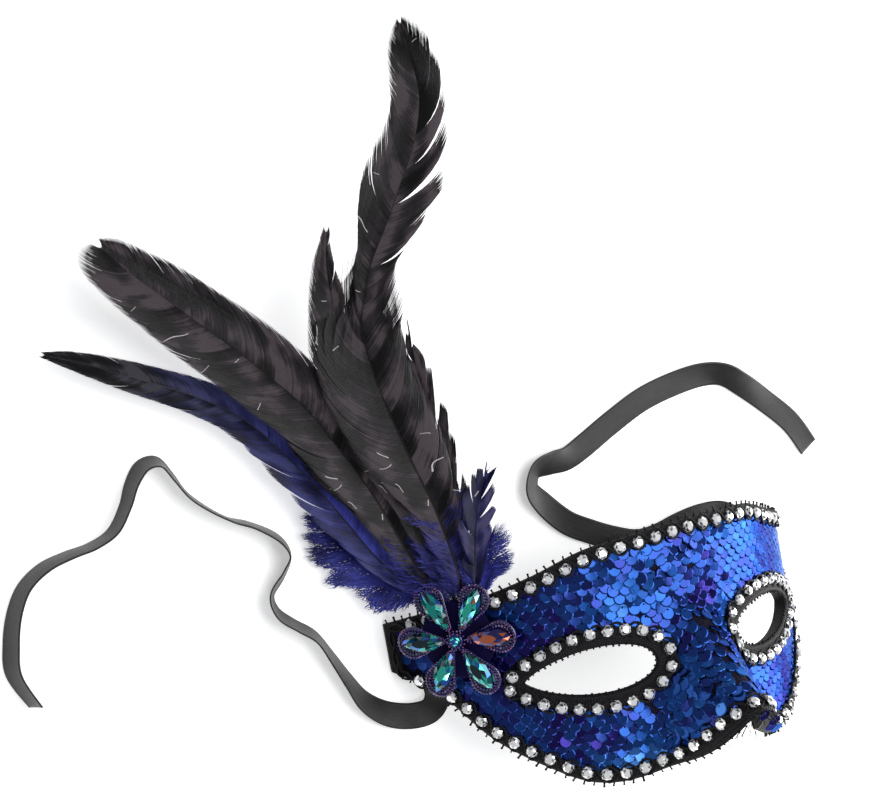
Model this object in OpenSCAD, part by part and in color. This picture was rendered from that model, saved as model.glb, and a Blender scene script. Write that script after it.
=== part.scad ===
// Half-face masquerade mask lying face up on a table, resting on its two temple ends.
// +X is the viewer's right, +Y the brow side, +Z the side the mask looks to.
// The origin is on the mask's mid-plane, level with the eyes, in the plane of the temple ends.

/* [Face] */
// Radius of the front of the face, between the eyes
front_r = 78; // [70:1:90]
// Angle that the front turns through on each side
front_turn = 28; // [24:1:32]
// Radius of the cheek, from the eye to the temple
cheek_r = 99; // [80:1:120]
// Angle of the temple ends to the front
temple_turn = 60; // [50:1:66]
// Half width of the mask, measured along the face
half_span = 112.5; // [100:0.5:130]
// Height of the brow's middle above the eyes
brow_h = 47.5; // [42:0.5:57]
// Depth of the cheeks below the eyes
cheek_h = 40.5; // [36:0.5:48]
// Height of the nose above the cheeks
nose_h = 22.4; // [15:0.1:27]
// Half width of the nose
nose_w = 11.5; // [9:0.5:14]

/* [Eyes] */
// Distance of each eye hole's middle from the mid-plane, along the face
eye_s = 40.3; // [36:0.1:48]
// Half length of an eye hole
eye_half_l = 23.9; // [18:0.1:26]
// Height of the eye hole above its corner line
eye_up = 11.1; // [8:0.1:13]
// Depth of the eye hole below its corner line
eye_down = 9.3; // [7:0.1:11]

/* [Layers] */
// Thickness of the felt lining
lining_t = 0.5; // [0.4:0.1:1]
// Thickness of the moulded shell
shell_t = 1.6; // [1.2:0.1:2.4]
// Thickness of the sequin cloth
cloth_t = 1.2; // [0.8:0.1:2]
// Thickness of the braid
braid_t = 1; // [0.6:0.1:1.6]
// Width of the braid along the outer edge
edge_braid_w = 7.2; // [5:0.1:9]
// Width of the braid round each eye hole
eye_braid_w = 8.2; // [7:0.1:10]

/* [Rhinestones] */
// Diameter of a rhinestone
stone_d = 4.6; // [3:0.1:5.5]
// Height of a rhinestone
stone_h = 1.9; // [1.2:0.1:2.6]
// Distance from one rhinestone to the next
stone_pitch = 7; // [6:0.1:9]
// Rhinestones round each eye hole
eye_stone_count = 22; // [16:1:24]
// Distance of the stone row in from the outer edge
edge_stone_in = 3.4; // [2.8:0.1:4.5]
// Distance of the stone row out from the eye hole
eye_stone_out = 5.6; // [4:0.1:6]

/* [Flower] */
// Distance from the flower's middle to a petal's tip
petal_reach = 22.8; // [18:0.1:26]
// Width of a petal
petal_w = 11.6; // [9:0.1:13]
// Thickness of a petal plate
petal_t = 0.8; // [0.6:0.1:1.5]
// Distance from the flower's middle to the inner point of a petal's stone
petal_stone_from = 6.3; // [5.5:0.1:8]
// Width of the petal that shows on each side of its stone
petal_border = 2.5; // [2:0.1:3.5]
// Height of a petal's stone
petal_stone_h = 2.8; // [2:0.1:4]
// Diameter of the seed beads round a petal
seed_bead_d = 1.3; // [1:0.1:1.8]

/* [Plume] */
// Thickness of a feather at its shaft
shaft_t = 1.6; // [1.2:0.1:2]
// Distance from one quill to the next under the flower
quill_pitch = 1.9; // [1.7:0.1:2.2]
// Thickness of the felt pad over the quills
quill_pad_t = 0.9; // [0.6:0.1:1.4]

/* [Ribbons] */
// Width of the satin ribbon
ribbon_w = 10; // [6:0.5:14]
// Thickness of the satin ribbon
ribbon_t = 0.8; // [0.6:0.1:1]

/* [Hidden] */

$fn = 32;
gap = 0.3;
deg_per_rad = 180 / PI;

// Where the front turns into the cheek, and the cheek into the flat temple
front_s = front_r * front_turn / deg_per_rad;
cheek_s = front_s + cheek_r * (temple_turn - front_turn) / deg_per_rad;

// Levels of the layers above the face's inner surface
shell_d = lining_t;
cloth_d = lining_t + shell_t;
braid_d = cloth_d + cloth_t + gap;
stone_d0 = braid_d + braid_t + 0.1;

// Upper edge of the mask, [share of the half span, fall from the brow's middle]
brow_falls = [[0, 0], [0.17, 1], [0.325, 3], [0.485, 9], [0.645, 14], [0.815, 17.5], [1, 21.5]];
// Lower edge, [share of the half span, rise above the cheek's lowest point]
cheek_rises = [
    [0, 17.5], [0.12, 4.5], [0.262, 0], [0.41, 1.5], [0.55, 10], [0.70, 22], [0.85, 39.5], [1, 48.5]
];
brow_line = [for (p = brow_falls) [p[0], brow_h - p[1]]];
cheek_line = [for (p = cheek_rises) [p[0], p[1] - cheek_h]];

// The nose rises from its bridge and gets wider towards the tip
nose_top_y = 22;
nose_run = 35;
nose_line_from = 1.2;
nose_line_slope = 1.6;

// Grid of a face layer: columns round the eye hole and rows out to the edge
top_mid_n = 5;
brow_n = 22;
temple_n = 4;
cheek_n = 24;
column_n = 2 * top_mid_n + brow_n + temple_n + cheek_n;
row_n = 6;
near_nose = 0.5;
eye_taper = 0.49;

// ---- the face as a surface ----

function mix(a, b, t) = a + (b - a) * t;
function unit(v) = v / norm(v);

function wrap_angle(a) =
    a < front_s ? a / front_r * deg_per_rad
    : a < cheek_s ? front_turn + (a - front_s) / cheek_r * deg_per_rad
    : temple_turn;
function wrap_x(a) =
    let (t = wrap_angle(a))
    a < front_s ? front_r * sin(t)
    : front_r * sin(front_turn) + cheek_r * (sin(t) - sin(front_turn)) + max(0, a - cheek_s) * cos(t);
function wrap_drop(a) =
    let (t = wrap_angle(a))
    a < front_s ? front_r * (1 - cos(t))
    : front_r * (1 - cos(front_turn)) + cheek_r * (cos(front_turn) - cos(t)) + max(0, a - cheek_s) * sin(t);
face_top_z = wrap_drop(half_span);

function nose_rise(s, y) =
    let (
        q = max(0, (nose_top_y - y) / nose_run),
        ramp = q < nose_line_from ? pow(q, 1.5)
            : pow(nose_line_from, 1.5) + (q - nose_line_from) * nose_line_slope,
        w = nose_w * (0.75 + 0.25 * min(q, nose_line_from))
    )
    nose_h * exp(-pow(s / w, 2)) * ramp;

function base_point(s, y) =
    [sign(s) * wrap_x(abs(s)), y, face_top_z - wrap_drop(abs(s)) + nose_rise(s, y)];
function face_normal(s, y) =
    let (e = 0.2)
    unit(cross(base_point(s + e, y) - base_point(s - e, y), base_point(s, y + e) - base_point(s, y - e)));

// A point of the face at a level above its inner surface; the ends of every layer lie in one plane
function face_point(s, y, level) =
    let (ended = s + sign(s) * level / tan(temple_turn) * pow(min(1, abs(s) / half_span), 8))
    base_point(ended, y) + level * face_normal(ended, y);

// ---- outline and eye holes on the face, as [s, y] ----

function slope_at(line, i) =
    i == 0 ? 0
    : i == len(line) - 1 ? (line[i][1] - line[i - 1][1]) / (line[i][0] - line[i - 1][0])
    : (line[i + 1][1] - line[i - 1][1]) / (line[i + 1][0] - line[i - 1][0]);
function line_part(line, x, i = 0) =
    i >= len(line) - 2 || x < line[i + 1][0] ? i : line_part(line, x, i + 1);
function line_y(line, x) =
    let (
        i = line_part(line, x),
        h = line[i + 1][0] - line[i][0],
        t = (x - line[i][0]) / h
    )
    (2 * t * t * t - 3 * t * t + 1) * line[i][1] + (t * t * t - 2 * t * t + t) * h * slope_at(line, i)
    + (3 * t * t - 2 * t * t * t) * line[i + 1][1] + (t * t * t - t * t) * h * slope_at(line, i + 1);
function brow_at(share) = [share * half_span, line_y(brow_line, share)];
function cheek_at(share) = [share * half_span, line_y(cheek_line, share)];
// Columns stand closer together near the nose than at the temple
function column_share(t) = t * mix(near_nose, 1, t);

outline = [
    for (i = [0 : top_mid_n - 1]) [0, brow_at(0)[1] * i / top_mid_n],
    for (i = [0 : brow_n - 1]) brow_at(column_share(i / brow_n)),
    for (i = [0 : temple_n - 1]) mix(brow_at(1), cheek_at(1), i / temple_n),
    for (i = [0 : cheek_n - 1]) cheek_at(column_share(1 - i / cheek_n)),
    for (i = [0 : top_mid_n - 1]) [0, cheek_at(0)[1] * (1 - i / top_mid_n)]
];

function eye_at(turn, out = 0) = [
    eye_s - (eye_half_l + out) * cos(turn),
    ((sin(turn) > 0 ? eye_up : eye_down) + out) * sin(turn) * pow(abs(cos(turn / 2)), eye_taper)
];
function eye_column(i, out = 0) = eye_at(360 * i / column_n, out);

function on_midline(i) = i <= top_mid_n || i >= column_n - top_mid_n;
first_edge = top_mid_n;
last_edge = column_n - top_mid_n;

// ---- meshes ----

function quad(a, b, c, d) = [[a, b, c], [a, c, d]];
function flipped(faces) = [for (f = faces) [f[2], f[1], f[0]]];

// One layer of the face between two levels, in two halves that share the mid-line
module face_layer(low, high) {
    half_size = (row_n + 1) * column_n;
    function vertex(side, top, row, column) =
        let (
            i = column % column_n,
            shared = row == row_n && on_midline(i)
        )
        ((shared ? 0 : side) * 2 + top) * half_size + row * column_n + i;
    points = [
        for (side = [1, -1])
            for (level = [low, high])
                for (row = [0 : row_n])
                    for (i = [0 : column_n - 1])
                        let (p = mix(eye_column(i), outline[i], row / row_n))
                        face_point(side * p[0], p[1], level)
    ];
    function sheet(side, top) = [
        for (row = [0 : row_n - 1])
            for (i = [0 : column_n - 1])
                each quad(
                    vertex(side, top, row, i), vertex(side, top, row, i + 1),
                    vertex(side, top, row + 1, i + 1), vertex(side, top, row + 1, i)
                )
    ];
    function wall(side, row, from, to) = [
        for (i = [from : to])
            each quad(
                vertex(side, 0, row, i), vertex(side, 0, row, i + 1),
                vertex(side, 1, row, i + 1), vertex(side, 1, row, i)
            )
    ];
    faces = concat(
        flipped(sheet(0, 1)), sheet(0, 0), sheet(1, 1), flipped(sheet(1, 0)),
        wall(1, 0, 0, column_n - 1), flipped(wall(0, 0, 0, column_n - 1)),
        wall(0, row_n, first_edge, last_edge - 1), flipped(wall(1, row_n, first_edge, last_edge - 1))
    );
    polyhedron(points, flipped(faces));
}

// A solid swept round or along stations, each a ring of points
module swept(rings, closed = false) {
    n = len(rings);
    m = len(rings[0]);
    spans = closed ? n : n - 1;
    sides = [
        for (i = [0 : spans - 1])
            for (j = [0 : m - 1])
                each quad(
                    i * m + j, i * m + (j + 1) % m,
                    ((i + 1) % n) * m + (j + 1) % m, ((i + 1) % n) * m + j
                )
    ];
    caps = closed ? [] : concat(
        [for (j = [1 : m - 2]) [0, j + 1, j]],
        [for (j = [1 : m - 2]) [(n - 1) * m, (n - 1) * m + j, (n - 1) * m + j + 1]]
    );
    polyhedron([for (r = rings) each r], flipped(concat(sides, caps)));
}

// Section of a braid on the face, from the line at a to the line at b, both [s, y]
function braid_ring(a, b, low, high) = [
    for (c = [[0, 0], [0, 0.7], [0.25, 1], [0.75, 1], [1, 0.7], [1, 0], [0.5, 0]])
        let (p = mix(a, b, c[0]))
        face_point(p[0], p[1], mix(low, high, c[1]))
];

// The outline moved in by a distance, along the lines that run to the eye hole
function edge_normal(i) =
    let (
        a = i <= first_edge ? [-outline[i + 1][0], outline[i + 1][1]] : outline[i - 1],
        b = i >= last_edge ? [-outline[i - 1][0], outline[i - 1][1]] : outline[i + 1],
        t = unit(b - a)
    )
    [t[1], -t[0]];
function edge_in(i, inset) =
    let (
        to_eye = unit(eye_column(i) - outline[i % column_n]),
        n = edge_normal(i),
        way = on_midline(i) ? n : to_eye
    )
    outline[i % column_n] + way * inset / max(0.8, way * n);

edge_lip = 0.3;
module outer_braid_strip() {
    function ring(i, side) =
        let (
            a = edge_in(i, edge_lip),
            b = edge_in(i, edge_lip + edge_braid_w)
        )
        braid_ring([side * a[0], a[1]], [side * b[0], b[1]], braid_d, braid_d + braid_t);
    swept(
        concat(
            [for (i = [first_edge : last_edge - 1]) ring(i, 1)],
            [for (i = [last_edge : -1 : first_edge + 1]) ring(i, -1)]
        ),
        true
    );
}

module eye_band(side, from, to, low, high) {
    rings = [
        for (k = [0 : column_n - 1])
            let (
                i = side > 0 ? k : column_n - k,
                a = eye_column(i, from),
                b = eye_column(i, to)
            )
            braid_ring([side * a[0], a[1]], [side * b[0], b[1]], low, high)
    ];
    swept(rings, true);
}

// ---- rhinestone rows ----

function step_from(path, i) = i + 1 < len(path) ? norm(path[i + 1] - path[i]) : 0;
function path_sum(path) = [
    for (i = 0, sum = 0; i < len(path); sum = sum + step_from(path, i), i = i + 1)
        sum
];
function path_index(sums, at, low, high) =
    high - low <= 1 ? low
    : let (middle = floor((low + high) / 2))
    sums[middle] <= at ? path_index(sums, at, middle, high) : path_index(sums, at, low, middle);

// The [s, y] places of stones at an even distance along a line on the face
function stone_places(line, first, step, count) =
    let (
        path = [for (p = line) face_point(p[0], p[1], stone_d0)],
        sums = path_sum(path)
    )
    [
        for (k = [0 : count - 1])
            let (
                at = first + k * step,
                i = path_index(sums, at, 0, len(path) - 1),
                t = (at - sums[i]) / (sums[i + 1] - sums[i])
            )
            if (at <= sums[len(sums) - 1]) mix(line[i], line[i + 1], t)
    ];
function line_length(line) = path_sum([for (p = line) face_point(p[0], p[1], stone_d0)])[len(line) - 1];

function both_sides(half) = concat([for (i = [len(half) - 1 : -1 : 1]) [-half[i][0], half[i][1]]], half);
brow_stone_line = both_sides([for (i = [first_edge : first_edge + brow_n]) edge_in(i, edge_stone_in)]);
cheek_stone_line = both_sides([for (i = [last_edge : -1 : last_edge - cheek_n]) edge_in(i, edge_stone_in)]);
eye_steps = 120;
brow_first = 9.3;
cheek_first = 8.1;
eye_first = 2.1;

function eye_stone_line(side) = [
    for (i = [0 : eye_steps])
        let (p = eye_at(180 + 360 * i / eye_steps, eye_stone_out))
        [side * p[0], p[1]]
];

module one_stone() {
    rotate_extrude()
        polygon([
            [0, 0], [stone_d / 2, 0], [stone_d / 2, stone_h * 0.35],
            [stone_d * 0.3, stone_h], [0, stone_h]
        ]);
}
module place_on_face(s, y, level) {
    n = face_normal(s, y);
    translate(face_point(s, y, level))
        rotate([0, acos(n[2]), atan2(n[1], n[0])])
            children();
}
module stone_row(places) {
    color("white")
        for (p = places)
            place_on_face(p[0], p[1], stone_d0)
                one_stone();
}

// ---- flower ----

flower_s = -81.4;
flower_y = 20.2;
quill_d = stone_d0 + stone_h + 0.2 + shaft_t * 0.4;
pad_d = quill_d + shaft_t * 0.6 + 0.15;
flower_lift = pad_d + quill_pad_t + 0.1;
petal_turns = [0, 56, 118, 179, 238, 300];
petal_tip_r = petal_w / 2;
petal_root_r = 1;
petal_root_at = 4.6;
bead_in = seed_bead_d / 2 - 0.35;

module place_flower(level) {
    t = wrap_angle(-flower_s);
    translate(face_point(flower_s, flower_y, flower_lift + level))
        rotate([0, -t, 0])
            children();
}
module petal_shape(grow = 0) {
    hull() {
        translate([petal_reach - petal_tip_r, 0])
            circle(petal_tip_r + grow);
        translate([petal_root_at, 0])
            circle(petal_root_r + grow, $fn = 16);
    }
}
function petal_rim(i, n) =
    let (
        lean = asin((petal_tip_r - petal_root_r) / (petal_reach - petal_tip_r - petal_root_at)),
        wide = 180 + 2 * lean,
        t = i / n * 360
    )
    t < wide
    ? [petal_reach - petal_tip_r, 0] + (petal_tip_r - bead_in) * [cos(t - wide / 2), sin(t - wide / 2)]
    : [petal_root_at, 0]
        + (petal_root_r) * [cos(180 + (t - (wide + 360) / 2)), sin(180 + (t - (wide + 360) / 2))];
module bead_rim() {
    n = 24;
    r = seed_bead_d / 2;
    points = [for (i = [0 : n - 1]) petal_rim(i, n)];
    rings = [
        for (i = [0 : n - 1])
            let (
                t = unit(points[(i + 1) % n] - points[(i + n - 1) % n]),
                out = [t[1], -t[0]]
            )
            [
                for (a = [0 : 60 : 300])
                    let (p = points[i] + out * r * cos(a))
                    [p[0], p[1], r + r * sin(a)]
            ]
    ];
    swept(rings, true);
}
// A long stone with pointed ends, a low girdle and a flat table
module navette(l, w, h) {
    n = 12;
    function ring(share, z) = [
        for (a = [0 : 360 / n : 359])
            [share * l / 2 * cos(a), share * w / 2 * sin(a) * pow(abs(sin(a)), 0.6), z]
    ];
    swept([ring(0.94, 0), ring(1, h * 0.3), ring(0.5, h)]);
}
petal_stone_end = petal_reach - seed_bead_d - 0.2;
petal_stone_l = petal_stone_end - petal_stone_from;
petal_stone_w = petal_w - 2 * petal_border;
petal_stone_at = (petal_stone_from + petal_stone_end) / 2;

// ---- plume ----

function ridge_section(centre, side, up, left, right, t) = [
    centre - side * left, centre - side * left * 0.4 + up * t * 0.35, centre + up * t * 0.6,
    centre + side * right * 0.4 + up * t * 0.35, centre + side * right,
    centre + side * right * 0.4 - up * t * 0.15, centre - up * t * 0.4,
    centre - side * left * 0.4 - up * t * 0.15
];
function spline(a, b, c, d, t) =
    0.5 * (2 * b + (c - a) * t + (2 * a - 5 * b + 4 * c - d) * t * t + (3 * b - a - 3 * c + d) * t * t * t);
function smooth(line, parts) = [
    for (i = [0 : len(line) - 2])
        for (k = [0 : parts - 1])
            spline(
                line[max(0, i - 1)], line[i], line[i + 1], line[min(len(line) - 1, i + 2)], k / parts
            ),
    line[len(line) - 1]
];

// Where quill number k lies under the flower, and where it passes the mask's edge
quill_n = 9;
quill_r = 0.8;
quill_fan = 1.4;
quill_y = flower_y + 3;
brow_y = line_y(brow_line, -flower_s / half_span);
edge_y = brow_y + 2;
plume_root = base_point(flower_s, brow_y);
plume_root_station = [plume_root[0], plume_root[1], plume_root[2], 0, 0];
function quill_station(k, y, spread) =
    let (p = face_point(flower_s + (k - (quill_n - 1) / 2) * quill_pitch * spread, y, quill_d))
    [p[0], p[1], p[2], quill_r, quill_r];

// A feather: its quill's place, then stations of [x, y, z, reach to the left, reach to the right],
// measured from the mask's edge at the plume's root
module feather(k, stations, facing = [-0.45, 0.1, 0.9], parts = 2) {
    quill = [quill_station(k, quill_y, 1), quill_station(k, edge_y, quill_fan)];
    blade = [for (p = stations) plume_root_station + p];
    line = smooth(concat(quill, blade), parts);
    n = len(line);
    rings = [
        for (i = [0 : n - 1])
            let (
                centre = [line[i][0], line[i][1], line[i][2]],
                a = line[max(0, i - 1)],
                b = line[min(n - 1, i + 1)],
                along = unit([b[0] - a[0], b[1] - a[1], b[2] - a[2]]),
                side = unit(cross(along, facing)),
                up = cross(side, along)
            )
            ridge_section(centre, side, up, max(0.6, line[i][3]), max(0.6, line[i][4]), shaft_t)
    ];
    swept(rings);
}

tall_coque = [
    [-6, 14, 10, 5, 5], [-12, 37, 13, 10, 11], [-20, 58, 16, 16, 14], [-27, 80, 18, 18, 13],
    [-30, 94, 19, 17, 13], [-31, 106, 20, 14, 13], [-28, 116, 21, 7, 9], [-24, 126, 22, 6, 8],
    [-16, 139, 24, 12, 13], [-10, 150, 26, 13, 13], [-3, 163, 28, 10, 10], [1, 178, 30, 9, 10],
    [-1, 192, 32, 6, 7], [-3, 204, 33, 0.6, 0.6]
];
split_coque = [
    [-9, 14, 5, 4, 4], [-14, 37, 6, 8, 8], [-22, 55, 8, 10, 9], [-28, 68, 10, 10, 9],
    [-33, 83, 11, 10, 7], [-37, 98, 13, 8, 6], [-38, 113, 15, 6, 4], [-38, 128, 16, 3, 2],
    [-36, 140, 17, 0.6, 0.6]
];
short_coque = [
    [-3, 17, 10, 3, 4], [-5, 39, 12.5, 7, 7], [-8, 61, 15, 6, 7], [-11, 81, 17, 4, 5],
    [-13, 100, 18, 0.6, 0.6]
];
broad_coque = [
    [-17, 19, -1, 6, 6], [-30, 47, 2, 11, 11], [-48, 78, 4, 13, 13], [-60, 93, 4, 13, 13],
    [-72, 106, 4, 13, 12], [-84, 118, 4, 12, 11], [-94, 128, 4, 11, 9], [-104, 138, 4, 9, 6],
    [-112, 148, 4, 1, 1]
];
middle_coque = [
    [-17, 17, -4, 5, 5], [-25, 42, -2, 11, 11], [-36, 61, -2, 13, 12], [-47, 79, -2, 10, 10],
    [-56, 91, -2, 6, 6], [-63, 99, -2, 0.6, 0.6]
];
blue_hackle = [
    [-24, 18, -10, 6, 6], [-37, 39, -10, 9, 9], [-49, 58, -10, 9, 9], [-65, 79, -11, 7, 7],
    [-81, 91, -12, 6, 6], [-102, 102, -13, 5, 5], [-120, 111, -14, 3, 3], [-132, 116, -15, 0.6, 0.6]
];
side_sprig = [
    [-2, 17, 17, 4, 4], [-1, 29, 20, 5, 5], [2, 40, 22, 4, 4], [6, 48, 23, 0.6, 0.6]
];
left_fluff = [
    [-21, 9, -15, 7, 6], [-30, 21, -17, 9, 7], [-38, 32, -18, 7, 6], [-45, 42, -18, 0.8, 0.8]
];
right_fluff = [
    [1, 10, 14, 5, 5], [4, 18, 15, 6, 6], [7, 25, 16, 0.8, 0.8]
];

// ---- ribbons: [x, y, z, lean of the flat side] along each one ----

left_route = [
    [-78.5, 20, 7.5, 60], [-78.5, 12, 6.5, 60], [-76, 3, 5, 45], [-74.5, -5, 3, 25], [-78, -10, 1.6, 10],
    [-86, -10, 0.6, 0], [-96, -6, 0.6, 0], [-104, 1, 0.6, 0], [-109, 10, 0.6, 0], [-114, 20, 0.8, 0],
    [-119, 29, 1.4, 10], [-126, 35, 2.6, 25], [-132, 41, 3.6, 40], [-133, 48, 3.6, 40],
    [-127, 54, 2, 20], [-123, 60, 2, 20], [-126, 67, 3.4, 35], [-135, 74, 4.2, 50],
    [-143, 78, 4.6, 60], [-151, 84, 4.8, 65], [-157, 90, 4.8, 65], [-161, 97, 4.2, 50],
    [-165, 103, 3.4, 35], [-171, 103, 3, 30], [-176, 98, 2.6, 25], [-180, 91, 2.2, 20],
    [-186, 84, 2.2, 20], [-194, 81, 2.2, 20], [-203, 80, 2, 15], [-212, 78, 1.4, 10],
    [-220, 73, 0.8, 5], [-225, 65, 0.6, 0], [-228, 55, 0.6, 0], [-229, 45, 0.6, 0], [-224, 33, 0.6, 0]
];
right_route = [
    [78.5, 12, 7.5, 60], [78, 20, 6.5, 60], [75, 27, 5, 50], [68, 31, 3.4, 30], [58, 32, 1.6, 10],
    [47, 31, 0.6, 0], [36, 29, 0.6, 0], [26, 29, 0.6, 0], [15, 33, 0.6, 0], [5, 38, 0.6, 0],
    [-5, 44, 0.8, 0], [-14, 53, 1.6, 10], [-19, 60, 3, 30], [-16, 67, 3.4, 35], [-8, 68, 2.4, 20],
    [0, 68, 1.4, 10], [9, 71, 0.8, 0], [23, 77, 0.6, 0], [39, 83, 0.6, 0], [55, 86, 0.6, 0],
    [69, 87, 1.4, 10], [79, 85, 2.6, 25], [88, 79, 2, 15], [99, 70, 0.8, 0], [110, 59, 0.6, 0],
    [117, 47, 0.6, 0]
];
module ribbon(route, parts) {
    line = smooth(route, parts);
    n = len(line);
    rings = [
        for (i = [0 : n - 1])
            let (
                a = line[max(0, i - 1)],
                b = line[min(n - 1, i + 1)],
                along = unit([b[0] - a[0], b[1] - a[1], b[2] - a[2]]),
                level = unit(cross([0, 0, 1], along)),
                up = cross(along, level),
                side = level * cos(line[i][3]) + up * sin(line[i][3]),
                face = cross(along, side)
            )
            [
                for (a = [22.5 : 45 : 359])
                    [line[i][0], line[i][1], line[i][2]]
                    + side * ribbon_w / 2 * cos(a) / cos(22.5) + face * ribbon_t / 2 * sin(a) / sin(67.5)
            ]
    ];
    color([0.10, 0.09, 0.09])
        swept(rings);
}

patch_s = half_span - 9.5;
patch_y = 16;
patch_l = 14;
patch_w = 12;
patch_t = 0.8;
stitch_d = 0.7;
module place_inside(side, level) {
    translate(face_point(side * patch_s, patch_y, -level))
        rotate([0, side * temple_turn, 0])
            children();
}
module ribbon_patch(side) {
    color([0.12, 0.12, 0.14])
        place_inside(side, 0.2 + patch_t)
            translate([-patch_w / 2, -patch_l / 2, 0])
                cube([patch_w, patch_l, patch_t]);
}
module ribbon_stitches(side) {
    color([0.2, 0.2, 0.22])
        for (y = [-4.5, 4.5])
            place_inside(side, 0.3 + patch_t + stitch_d)
                translate([-3.5, y, 0])
                    rotate([0, 90, 0])
                        cylinder(d = stitch_d, h = 7, $fn = 16);
}

// ---- sub-parts ----

module mask_shell() { color([0.13, 0.13, 0.15]) face_layer(shell_d, cloth_d); }
module felt_lining() { color([0.08, 0.08, 0.09]) face_layer(0, shell_d); }
module sequin_cloth() { color([0.12, 0.25, 0.72]) face_layer(cloth_d, cloth_d + cloth_t); }
module outer_braid() { color([0.06, 0.06, 0.07]) outer_braid_strip(); }
module eye_braid(side) {
    color([0.06, 0.06, 0.07])
        eye_band(side, 0.4, 0.4 + eye_braid_w, braid_d, braid_d + braid_t);
}
module eye_binding(side) {
    color([0.2, 0.2, 0.22])
        eye_band(side, -1, -0.2, -0.2, braid_d);
}
module left_eye_braid() { eye_braid(-1); }
module right_eye_braid() { eye_braid(1); }
module left_eye_binding() { eye_binding(-1); }
module right_eye_binding() { eye_binding(1); }
module top_edge_stones() {
    n = floor((line_length(brow_stone_line) - 16) / stone_pitch) + 1;
    stone_row(stone_places(brow_stone_line, brow_first, stone_pitch, n));
}
module bottom_edge_stones() {
    n = floor((line_length(cheek_stone_line) - 14) / stone_pitch) + 1;
    stone_row(stone_places(cheek_stone_line, cheek_first, stone_pitch, n));
}
module eye_stones(side) {
    line = eye_stone_line(side);
    stone_row(stone_places(line, eye_first, line_length(line) / eye_stone_count, eye_stone_count));
}
module left_eye_stones() { eye_stones(-1); }
module right_eye_stones() { eye_stones(1); }
module flower_felt() {
    color([0.08, 0.08, 0.2])
        place_flower(0)
            cylinder(r = petal_reach * 0.62, h = 1);
}
module petal_plates() {
    color([0.17, 0.12, 0.4])
        place_flower(1)
            for (k = [0 : 5])
                rotate([0, 0, petal_turns[k]])
                    translate([0, 0, 0.1 + 0.15 * (k % 2)])
                        linear_extrude(petal_t)
                            intersection() {
                                petal_shape();
                                translate([petal_root_at - 0.6, -petal_w])
                                    square([petal_reach, 2 * petal_w]);
                            }
}
module petal_bead_rims() {
    color([0.3, 0.25, 0.55])
        place_flower(1.3 + petal_t)
            for (k = [0 : 5])
                rotate([0, 0, petal_turns[k]])
                    bead_rim();
}
module petal_stones() {
    color([0.05, 0.5, 0.55])
        place_flower(1.3 + petal_t)
            for (k = [0 : 5])
                rotate([0, 0, petal_turns[k]])
                    translate([petal_stone_at, 0, 0])
                        navette(petal_stone_l, petal_stone_w, petal_stone_h);
}
module flower_centre_cup() {
    color([0.3, 0.25, 0.55])
        place_flower(1.1)
            cylinder(r = petal_root_at - petal_root_r - seed_bead_d / 2, h = 2.4);
}
module flower_centre_stone() {
    color([0.08, 0.12, 0.5])
        place_flower(3.6)
            rotate_extrude()
                polygon([[0, 0], [1.9, 0], [1.9, 0.7], [1.2, 1.7], [0, 1.7]]);
}
module quill_pad() {
    color([0.08, 0.08, 0.09])
        place_flower(-quill_pad_t - 0.05)
            translate([-quill_n * quill_pitch / 2, quill_y - flower_y + 1, 0])
                cube([quill_n * quill_pitch, edge_y - quill_y - 2, quill_pad_t]);
}
module tall_coque_feather() { color([0.07, 0.07, 0.09]) feather(5, tall_coque); }
module split_coque_feather() { color([0.08, 0.08, 0.1]) feather(4, split_coque); }
module short_coque_feather() { color([0.07, 0.07, 0.09]) feather(6, short_coque); }
module broad_coque_feather() { color([0.06, 0.05, 0.07]) feather(3, broad_coque); }
module middle_coque_feather() { color([0.07, 0.06, 0.08]) feather(2, middle_coque); }
module blue_hackle_feather() { color([0.1, 0.15, 0.5]) feather(1, blue_hackle); }
module side_sprig_feather() { color([0.08, 0.08, 0.12]) feather(7, side_sprig); }
module left_marabou() { color([0.2, 0.25, 0.6]) feather(0, left_fluff); }
module right_marabou() { color([0.2, 0.25, 0.6]) feather(8, right_fluff); }
module left_ribbon() { ribbon(left_route, 2); }
module right_ribbon() { ribbon(right_route, 2); }
module left_ribbon_patch() { ribbon_patch(-1); }
module right_ribbon_patch() { ribbon_patch(1); }
module left_ribbon_stitches() { ribbon_stitches(-1); }
module right_ribbon_stitches() { ribbon_stitches(1); }

mask_shell();
felt_lining();
sequin_cloth();
outer_braid();
left_eye_braid();
right_eye_braid();
left_eye_binding();
right_eye_binding();
top_edge_stones();
bottom_edge_stones();
left_eye_stones();
right_eye_stones();
flower_felt();
petal_plates();
petal_bead_rims();
petal_stones();
flower_centre_cup();
flower_centre_stone();
quill_pad();
tall_coque_feather();
split_coque_feather();
short_coque_feather();
broad_coque_feather();
middle_coque_feather();
blue_hackle_feather();
side_sprig_feather();
left_marabou();
right_marabou();
left_ribbon();
right_ribbon();
left_ribbon_patch();
right_ribbon_patch();
left_ribbon_stitches();
right_ribbon_stitches();
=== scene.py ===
"""Dresses a sequined half-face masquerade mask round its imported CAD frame.

Every length is in metres, in the frame's own axes: +X the viewer's right, +Y the brow, +Z the way the mask looks.
"""

import math

import bmesh
import bpy
import numpy as np
from bpy.props import FloatProperty, FloatVectorProperty, IntProperty, PointerProperty
from mathutils import Matrix, Vector


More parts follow.
